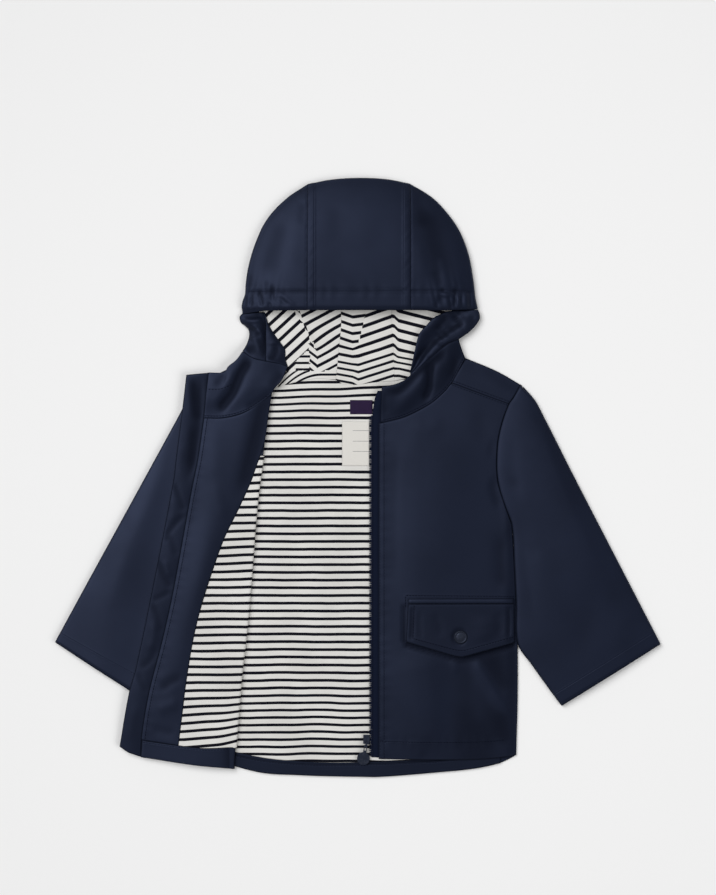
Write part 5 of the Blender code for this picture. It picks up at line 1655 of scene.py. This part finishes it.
CASING_FACING_FOLDS = [
    fold([(-95, 122), (-88, 127), (-86, 136), (-87, 142)], -1.3, 2.4, 2.8, 0.25),
    fold([(-97, 127), (-91, 122), (-85, 121)], 1.0, 2.0, 2.0, 0.3),
    fold([(-95, 139), (-90, 141), (-82, 143)], 0.8, 2.4, 2.4, 0.3),
    fold([(-96, 134), (-91, 135), (-86, 133)], 0.6, 2.4, 2.4, 0.3),
    fold([(-97, 164), (-95, 156), (-91, 150)], -0.5, 3, 3, 0.35),
]
cloth("casing_facing",
      (line("casing_crease"), line("stripe_edge"), line("facing_end"), straight((-99.5, 173.5), (-97.8, 173))),
      casing_facing_top, casing_cloth, cell=1.5,
      folds=CASING_FACING_FOLDS)

# %% [markdown]
# ## The hood
#
# Three panels make the hood: two sides and a centre strip, each folded over at the crown so that the
# outer leaf stands up like a low dome. All three take their height from the same function, so the seams
# run over the dome without a step. The brim is a stitched tunnel with its elastic pulled up at both ends.

# %% The hood
HOOD_EDGE = 5.1
HOOD_RISE = 14.0
HOOD_FOLDS = [
    fold([(-74, 278), (-86, 246), (-94, 218), (-95, 201)], -0.7, 14, 12, 0.3),
    fold([(-64, 284), (-68, 250), (-72, 206)], 0.5, 9, 8, 0.3),
    fold([(-56, 292), (-58, 278), (-57, 262)], -0.5, 4, 5, 0.3),
    fold([(-22, 290), (-23, 262), (-20, 240)], -0.3, 8, 8, 0.3),
    fold([(14, 296), (4, 268), (10, 236)], 0.3, 14, 12, 0.3),
    fold([(60, 300), (66, 276), (64, 256)], -0.7, 8, 8, 0.3),
    fold([(70, 290), (80, 246), (88, 214), (92, 198)], -1.2, 16, 14, 0.25),
    fold([(64, 250), (66, 225), (70, 206)], 0.5, 8, 8, 0.3),
    fold([(84, 232), (88, 218), (93, 202)], 0.5, 4, 4, 0.3),
    fold([(78, 218), (82, 208), (88, 199)], -0.5, 4, 4, 0.3),
    fold([(-117, 214), (-115, 204), (-114, 196)], -0.6, 4, 4, 0.3),
]
GATHERS_AT_BRIM = [
    fold([(-113, 196), (-112, 188), (-111, 177)], -1.3, 1.8, 2.0, 0.25),
    fold([(-103.5, 196), (-102, 188), (-100, 178)], -1.8, 1.8, 2.0, 0.2),
    fold([(-96.5, 208), (-95.5, 199), (-95, 189)], -0.8, 2.0, 2.0, 0.35),
    fold([(-90, 204), (-89, 188), (-86.5, 178)], -1.4, 1.8, 2.2, 0.35),
    fold([(-92, 184), (-92, 179), (-91.5, 174.5)], -1.3, 1.6, 1.6, 0.3),
    fold([(-107, 197), (-107.5, 190), (-107, 183)], -0.8, 1.6, 1.6, 0.3),
    fold([(-83, 194), (-74, 186), (-64, 179)], 0.7, 2.0, 2.0, 0.3),
    fold([(-84, 190), (-78, 184), (-72, 179)], -0.7, 1.8, 2.0, 0.3),
    fold([(-118, 192), (-117, 186), (-117, 178)], -0.8, 1.6, 1.8, 0.3),
    fold([(88, 198), (88, 196), (88, 193)], -1.3, 1.8, 1.8, 0.3),
    fold([(87, 191), (84, 184), (81, 176)], -1.4, 5.0, 3.0, 0.2),
    fold([(85, 195), (90, 192), (95, 189)], 0.8, 1.8, 1.8, 0.3),
    fold([(94, 191), (96, 184), (97, 175)], -1.8, 1.8, 2.0, 0.2),
    fold([(101.5, 200), (101.5, 190), (99.5, 176)], -2.0, 2.0, 2.0, 0.2),
    fold([(104, 192), (104, 186), (103, 178)], 1.0, 1.8, 1.8, 0.3),
    fold([(108, 197), (108.5, 190), (108, 181)], -1.0, 1.8, 1.8, 0.25),
    fold([(112, 197), (113, 188), (114, 175)], 0.8, 1.8, 1.8, 0.3),
    fold([(117, 197), (117.5, 188), (117, 175)], -1.1, 1.8, 1.8, 0.25),
]
brim_row = ChalkLine([(-119.5, 194.7), (0, 194.7), (121.5, 196)], smoothed=False)
seam_row_open = ChalkLine([(-46.2, 176), (-46.2, 303)], smoothed=False)
seam_row_closed = ChalkLine([(47.0, 176), (47.6, 303)], smoothed=False)


def crown(x, y):
    side = abs((x - 1.5) / 121.5) ** 2.3
    front = max(0.0, (y - 175.0) / 139.0) ** 2.3
    reach = min(1.0, (side + front) ** (1 / 2.3))
    return HOOD_EDGE + HOOD_RISE * (1 - reach**4) ** 0.8


def brim_shape(x, y):
    """The tunnel of the brim, and the gathers at its two ends."""
    tunnel = between(y, 174, 180) * (1 - between(y, 189, 195.5))
    ends = between(-x, 70, 92) + between(x, 68, 86)
    up_hood = math.exp(-max(0.0, y - 195) / 9.0) * between(y, 172, 180)
    wave = uneven_wave(x + 0.22 * (y - 185) * (1 if x > 0 else -1), 8.4)
    crest = wave if wave > 0 else -(abs(wave) ** 0.7) * 1.2
    gathered = 0.3 * crest * ends * up_hood + folds_at(GATHERS_AT_BRIM, x, y)
    small = 0.18 * uneven_wave(x + 30, 15) * math.exp(-(((y - 194) / 8) ** 2)) * (1 - ends)
    pressed_in = -0.75 * math.exp(-(((y - 194.9) / 1.6) ** 2))
    front_lip = -1.3 * (1 - between(y, 174.5, 178.5))
    return 0.9 * tunnel + gathered + small + pressed_in + front_lip


def seam_shape(x, y):
    """A pressed seam with its allowance folded towards the centre panel."""
    made = 0.0
    for seam, row in ((-53.3, -46.2), (54.5, 47.2)):
        middle = (seam + row) / 2
        half = abs(seam - row) / 2
        made += 0.45 * (1 - between(abs(x - middle), half - 0.6, half + 1.4))
        made -= 0.6 * math.exp(-(((x - seam) / 1.3) ** 2))
        band = math.exp(-(((x - middle) / (half + 0.5)) ** 4))
        made += 0.24 * band * uneven_wave(y - 1.3 * (x - seam), 8.5)
    return made


def hood_extra(x, y):
    return brim_shape(x, y) + seam_shape(x, y)


def hood_floor(x, y):
    return SHELL / 2


seam_low_open = straight((-23.7, 98.3), (-20, 138), (-18.2, 169), (-26, 215), (-42, 268), (-53.3, 303))
seam_low_closed = straight((38.2, 98.3), (36.7, 138), (34.7, 169), (38, 215), (48, 268), (54.6, 303))
open_low = (through(seam_low_open),
            straight((-23.7, 98.3), (-98, 98.3), (-108, 125), (-112, 148), (-119, 162), (-122.5, 172)),
            straight((-53.3, 303), (-53.35, 305.3)), hood_floor)
open_high = (straight((-53.35, 175), (-53.35, 304)), straight((-53.35, 175), (-99.5, 174.8), (-122.5, 172)),
             straight((-53.35, 304), (-53.35, 305.3)), crown)
folded("hood_right", open_low, open_high, line("crown_open"), hood_cloth, 2.9, cell=1.5,
       folds=HOOD_FOLDS, stitched=[brim_row], extra=hood_extra, upright=(False, True))
closed_low = (through(seam_low_closed),
              straight((38.2, 98.3), (101.6, 98.3), (104.5, 118), (102.5, 140), (115, 158), (125, 177)),
              straight((54.6, 303), (54.6, 305.5)), hood_floor)
closed_high = (straight((54.6, 175), (54.6, 304)), straight((54.6, 175), (93, 175.2), (125, 177)),
               straight((54.6, 304), (54.6, 305.5)), crown)
folded("hood_left", closed_low, closed_high, line("crown_closed"), hood_cloth, 2.9, cell=1.5,
       folds=HOOD_FOLDS, stitched=[brim_row], extra=hood_extra, upright=(False, True))
centre_low = (straight((-22.8, 98.3), (37.3, 98.3)),
              through([p + Vector((0.5, 0)) for p in seam_low_open[:-1]] + [Vector((-53.2, 308.3))]),
              through([p - Vector((0.5, 0)) for p in seam_low_closed[:-1]] + [Vector((54.5, 308.5))]),
              hood_floor)
centre_high = (straight((-53.25, 175), (54.5, 175)), straight((-53.25, 175), (-53.25, 305.3)),
               straight((54.5, 175), (54.5, 305.5)), crown)
folded("hood_centre", centre_low, centre_high, line("crown_top"), hood_cloth, 2.9, cell=2.0,
       folds=HOOD_FOLDS, stitched=[brim_row, seam_row_open, seam_row_closed], extra=hood_extra,
       upright=(True, True))

# %% [markdown]
# ## The hood lining
#
# Three striped panels line the hood. Pulled in by the elastic, they fall into two pleats below the brim,
# and the stripes slant up to the seams.

# %% The hood lining
KNIT_FOLDS = [
    fold([(-66, 175), (-57.5, 161), (-50.5, 148), (-43, 131)], 1.9, 1.8, 7, 0.15),
    fold([(-51, 147), (-49, 139), (-54, 128), (-60, 117)], -0.7, 3, 3, 0.25),
    fold([(8.5, 175), (5.5, 160), (2, 149), (-1.5, 140)], 1.6, 7, 1.8, 0.2),
    fold([(-66, 113), (-52, 111), (-38, 111)], 0.9, 3, 3, 0.25),
    fold([(-76, 118), (-70, 108), (-60, 103)], -0.5, 3, 3, 0.3),
    fold([(-34, 170), (-38, 150), (-40, 132)], -0.6, 7, 6, 0.3),
    fold([(42, 160), (43, 140), (42, 122)], -0.5, 3, 3, 0.3),
    fold([(50, 118), (49, 113), (53, 109)], -0.5, 2.5, 2.5, 0.3),
    fold([(58, 160), (56, 140), (52, 120)], 0.5, 6, 6, 0.3),
    fold([(18, 170), (18, 145), (14, 120)], -0.4, 8, 8, 0.3),
]


def lining_top(x, y, u, v):
    seam = -0.35 * math.exp(-(((x + 19.6) / 1.4) ** 2)) - 0.35 * math.exp(-(((x - 36) / 1.4) ** 2))
    return KNIT_FLOOR + LINING + 0.2 + seam


cloth("hood_lining_right",
      (line("knit_out_open"), line("knit_seam_open"), line("knit_neck_open"), straight((-88, 262), (-50, 287))),
      lining_top, knit, wall=KNITTED, cell=1.7, folds=KNIT_FOLDS,
      phase=hood_right_count)
cloth("hood_lining_centre",
      (line("knit_seam_open"), line("knit_seam_closed"), line("knit_neck_mid"), straight((-50, 287), (51, 287))),
      lining_top, knit, wall=KNITTED, cell=1.7, folds=KNIT_FOLDS,
      phase=hood_centre_count)
cloth("hood_lining_left",
      (line("knit_seam_closed"), line("knit_out_closed"), line("knit_neck_closed"), straight((51, 287), (90, 262))),
      lining_top, knit, wall=KNITTED, cell=1.7, folds=KNIT_FOLDS,
      phase=hood_left_count)

# %% [markdown]
# ## Labels and zip tape
#
# A small woven label and a wider cotton name label are sewn to the lining below the neck. The name label
# carries three plain rules to write on. The zip tape is a narrow woven band under the front's edge.

# %% Labels and zip tape
def label_sides(left, right, low, high):
    return (straight((left, low), (left, high)), straight((right, low), (right, high)),
            straight((left, low), (right, low)), straight((left, high), (right, high)))


def label_top(over):
    return lambda x, y, u, v: OVER_KNIT + over + 0.25 * math.sin(math.pi * u) * math.sin(math.pi * v)


cloth("woven_label", label_sides(-8.7, 15.0, 66.5, 81.5), label_top(0.65), label_weave,
      wall=0.45, cell=1.2, inset=0.05,
      folds=[fold([(-6, 80), (2, 74), (8, 68)], 0.25, 4, 4)])
cloth("name_label", label_sides(-17.0, 11.6, 12.5, 59.0), label_top(0.55), label_cotton,
      wall=0.4, cell=1.6, inset=0.05,
      folds=[fold([(-14, 56), (-6, 34), (-10, 14)], 0.3, 6, 6)])


def tape_top(x, y, u, v):
    return OVER_KNIT + LINING + 3.4 * between(y, 62, 92)


cloth("zip_tape",
      (through([(14.2, -293), (14.2, -100), (14.8, 62), (17.2, 82), (20.3, 91)]),
       through([(25, -293), (25, -100), (25, 52), (27.6, 66), (28, 91)]),
       straight((14.2, -293), (25, -293)), straight((20.3, 91), (28, 91))),
      tape_top, tape_weave, wall=0.7, cell=1.8,
      folds=[fold([(27, 92), (23, 81), (18, 68)], 0.7, 2, 2, 0.2)])

# %% [markdown]
# ## Stitching
#
# Every row of topstitching is a chain of small rounded stitches laid into its groove. Each stitch is a
# coarse ball stretched along the row. We drop it onto the finished cloth to find its height, and join
# the stitches of one panel into one piece that rides along with it.

# %% Stitching
STITCH_LENGTH = 2.3
STITCH_STEP = 3.1


def stitched(panel, rows):
    bm = bmesh.new()
    surface = tops[panel]
    count = 0
    for chalk in rows:
        steps = max(2, round(chalk.length / STITCH_STEP))
        spots = even(chalk.points, steps)
        for a, b in zip(spots, spots[1:]):
            middle = (a + b) / 2
            hit, normal, _, _ = surface.ray_cast(Vector((middle.x, middle.y, 60)), Vector((0, 0, -1)))
            if hit is None:
                continue
            along = (b - a).to_3d().normalized()
            along = (along - normal * along.dot(normal)).normalized()
            aside = normal.cross(along)
            turn = Matrix((along, aside, normal)).transposed().to_4x4()
            size = Matrix.Diagonal((STITCH_LENGTH / 2, 0.28, 0.22, 1.0))
            where = Matrix.Translation(hit + normal * 0.02) @ turn @ size
            bmesh.ops.create_uvsphere(bm, u_segments=6, v_segments=4, radius=1.0, matrix=where)
            count += 1
    for face in bm.faces:
        face.smooth = True
    bmesh.ops.scale(bm, verts=bm.verts[:], vec=(MM, MM, MM))
    mesh = bpy.data.meshes.new(panel + "_stitches")
    bm.to_mesh(mesh)
    bm.free()
    made = bpy.data.objects.new(panel + "_stitches", mesh)
    made.data.materials.append(thread)
    bpy.context.scene.collection.objects.link(made)
    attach(made, "coat")
    print(panel, "stitches:", count)


stitched("left_front", [front_hem_row, zip_row, edge_row, pocket_row, yoke_row_low])
stitched("left_yoke", [yoke_row])
stitched("pocket_flap", flap_rows)
stitched("left_sleeve", [cuff_row])
stitched("right_sleeve", [open_cuff_row])
stitched("right_facing", [facing_row])
stitched("right_front_hem", [opened_band_row])
stitched("collar_right", collar_rows)
stitched("collar_left", [neck_row])
stitched("hood_centre", [ChalkLine([(-53, 194.7), (54, 195.2)], smoothed=False), seam_row_open, seam_row_closed])
stitched("hood_right", [ChalkLine([(-118.4, 194.7), (-53.8, 194.7)], smoothed=False)])
stitched("hood_left", [ChalkLine([(55, 195.2), (121.0, 196)], smoothed=False)])
stitched("back_hem", [band_stitch])

# %% [markdown]
# ## Zip teeth, slider and pull
#
# The teeth are moulded blocks, one every one and three quarter millimetres, with a waist and a nose.
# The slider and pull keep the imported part's own shape, because the pull really swings on its pin, and
# get the plated finish.

# %% Zip teeth
chain_low, chain_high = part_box("zip_chain")
TOOTH_PITCH = 1.75
bm = bmesh.new()
middle_x = (chain_low.x + chain_high.x) / 2 / MM
base_z = chain_low.z / MM
y = chain_low.y / MM + TOOTH_PITCH
teeth = 0
while y < chain_high.y / MM - 1:
    block = bmesh.ops.create_cube(bm, size=1.0)["verts"]
    bmesh.ops.scale(bm, verts=block, vec=(3.6, 1.1, 2.0))
    nose = [v for v in block if v.co.x < 0]
    bmesh.ops.scale(bm, verts=nose, vec=(1.0, 0.72, 0.8))
    bmesh.ops.translate(bm, verts=block, vec=(middle_x - 0.25, y, base_z + 1.0))
    y += TOOTH_PITCH
    teeth += 1
bmesh.ops.bevel(bm, geom=bm.edges[:], offset=0.16, offset_type="OFFSET", affect="EDGES", segments=1,
                profile=0.5, material=-1)
cord = bmesh.ops.create_cone(bm, cap_ends=True, segments=8, radius1=0.55, radius2=0.55,
                             depth=(chain_high.y - chain_low.y) / MM - 1.0)["verts"]
bmesh.ops.rotate(bm, verts=cord, cent=(0, 0, 0), matrix=Matrix.Rotation(math.pi / 2, 3, "X"))
bmesh.ops.translate(bm, verts=cord, vec=(middle_x + 0.6, (chain_low.y + chain_high.y) / 2 / MM, base_z + 1.0))
bmesh.ops.scale(bm, verts=bm.verts[:], vec=(MM, MM, MM))
mesh = bpy.data.meshes.new("zip_teeth")
bm.to_mesh(mesh)
bm.free()
teeth_piece = bpy.data.objects.new("zip_teeth", mesh)
teeth_piece.data.materials.append(moulded)
bpy.context.scene.collection.objects.link(teeth_piece)
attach(teeth_piece, "coat")
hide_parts("zip_chain")
print("teeth:", teeth)

# %% Slider and pull finish
for name, finish in (("zip_slider", slider_metal), ("zip_pull_tab", pull_metal)):
    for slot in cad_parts[name].material_slots:
        slot.material = finish

# %% [markdown]
# ## The snap
#
# The snap's cap is spun from one profile: a rounded rim, a shallow recess and a low plain boss.

# %% The snap
snap_low, snap_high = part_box("snap_cap")
centre = (snap_low + snap_high) / 2 / MM
radius = (snap_high.x - snap_low.x) / 2 / MM
under = tops["pocket_flap"].ray_cast(Vector((centre.x, centre.y, 60)), Vector((0, 0, -1)))[0].z
print("the snap lies at", round(under, 2), "mm; the packed one at", round(snap_low.z / MM, 2))
PROFILE = [(0.0, 1.75), (0.62, 1.72), (0.68, 1.55), (0.74, 1.55), (0.80, 1.95), (0.88, 2.12),
           (0.95, 1.95), (1.0, 1.45), (1.0, 0.2), (0.94, 0.0), (0.0, 0.0)]
bm = bmesh.new()
ring = [bm.verts.new((r * radius, 0.0, z)) for r, z in PROFILE]
edges = [bm.edges.new(pair) for pair in zip(ring, ring[1:])]
bmesh.ops.spin(bm, geom=ring + edges, cent=(0, 0, 0), axis=(0, 0, 1), dvec=(0, 0, 0),
               angle=2 * math.pi, steps=48, use_merge=True)
bmesh.ops.remove_doubles(bm, verts=bm.verts[:], dist=1e-4)
bmesh.ops.recalc_face_normals(bm, faces=bm.faces[:])
for face in bm.faces:
    face.smooth = True
bmesh.ops.translate(bm, verts=bm.verts[:], vec=(centre.x, centre.y, under - 0.15))
bmesh.ops.scale(bm, verts=bm.verts[:], vec=(MM, MM, MM))
mesh = bpy.data.meshes.new("snap")
bm.to_mesh(mesh)
bm.free()
snap = bpy.data.objects.new("snap", mesh)
snap.data.materials.append(snap_metal)
bpy.context.scene.collection.objects.link(snap)
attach(snap, "coat")
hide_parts("snap_cap")
print("snap radius in mm:", round(radius, 2))
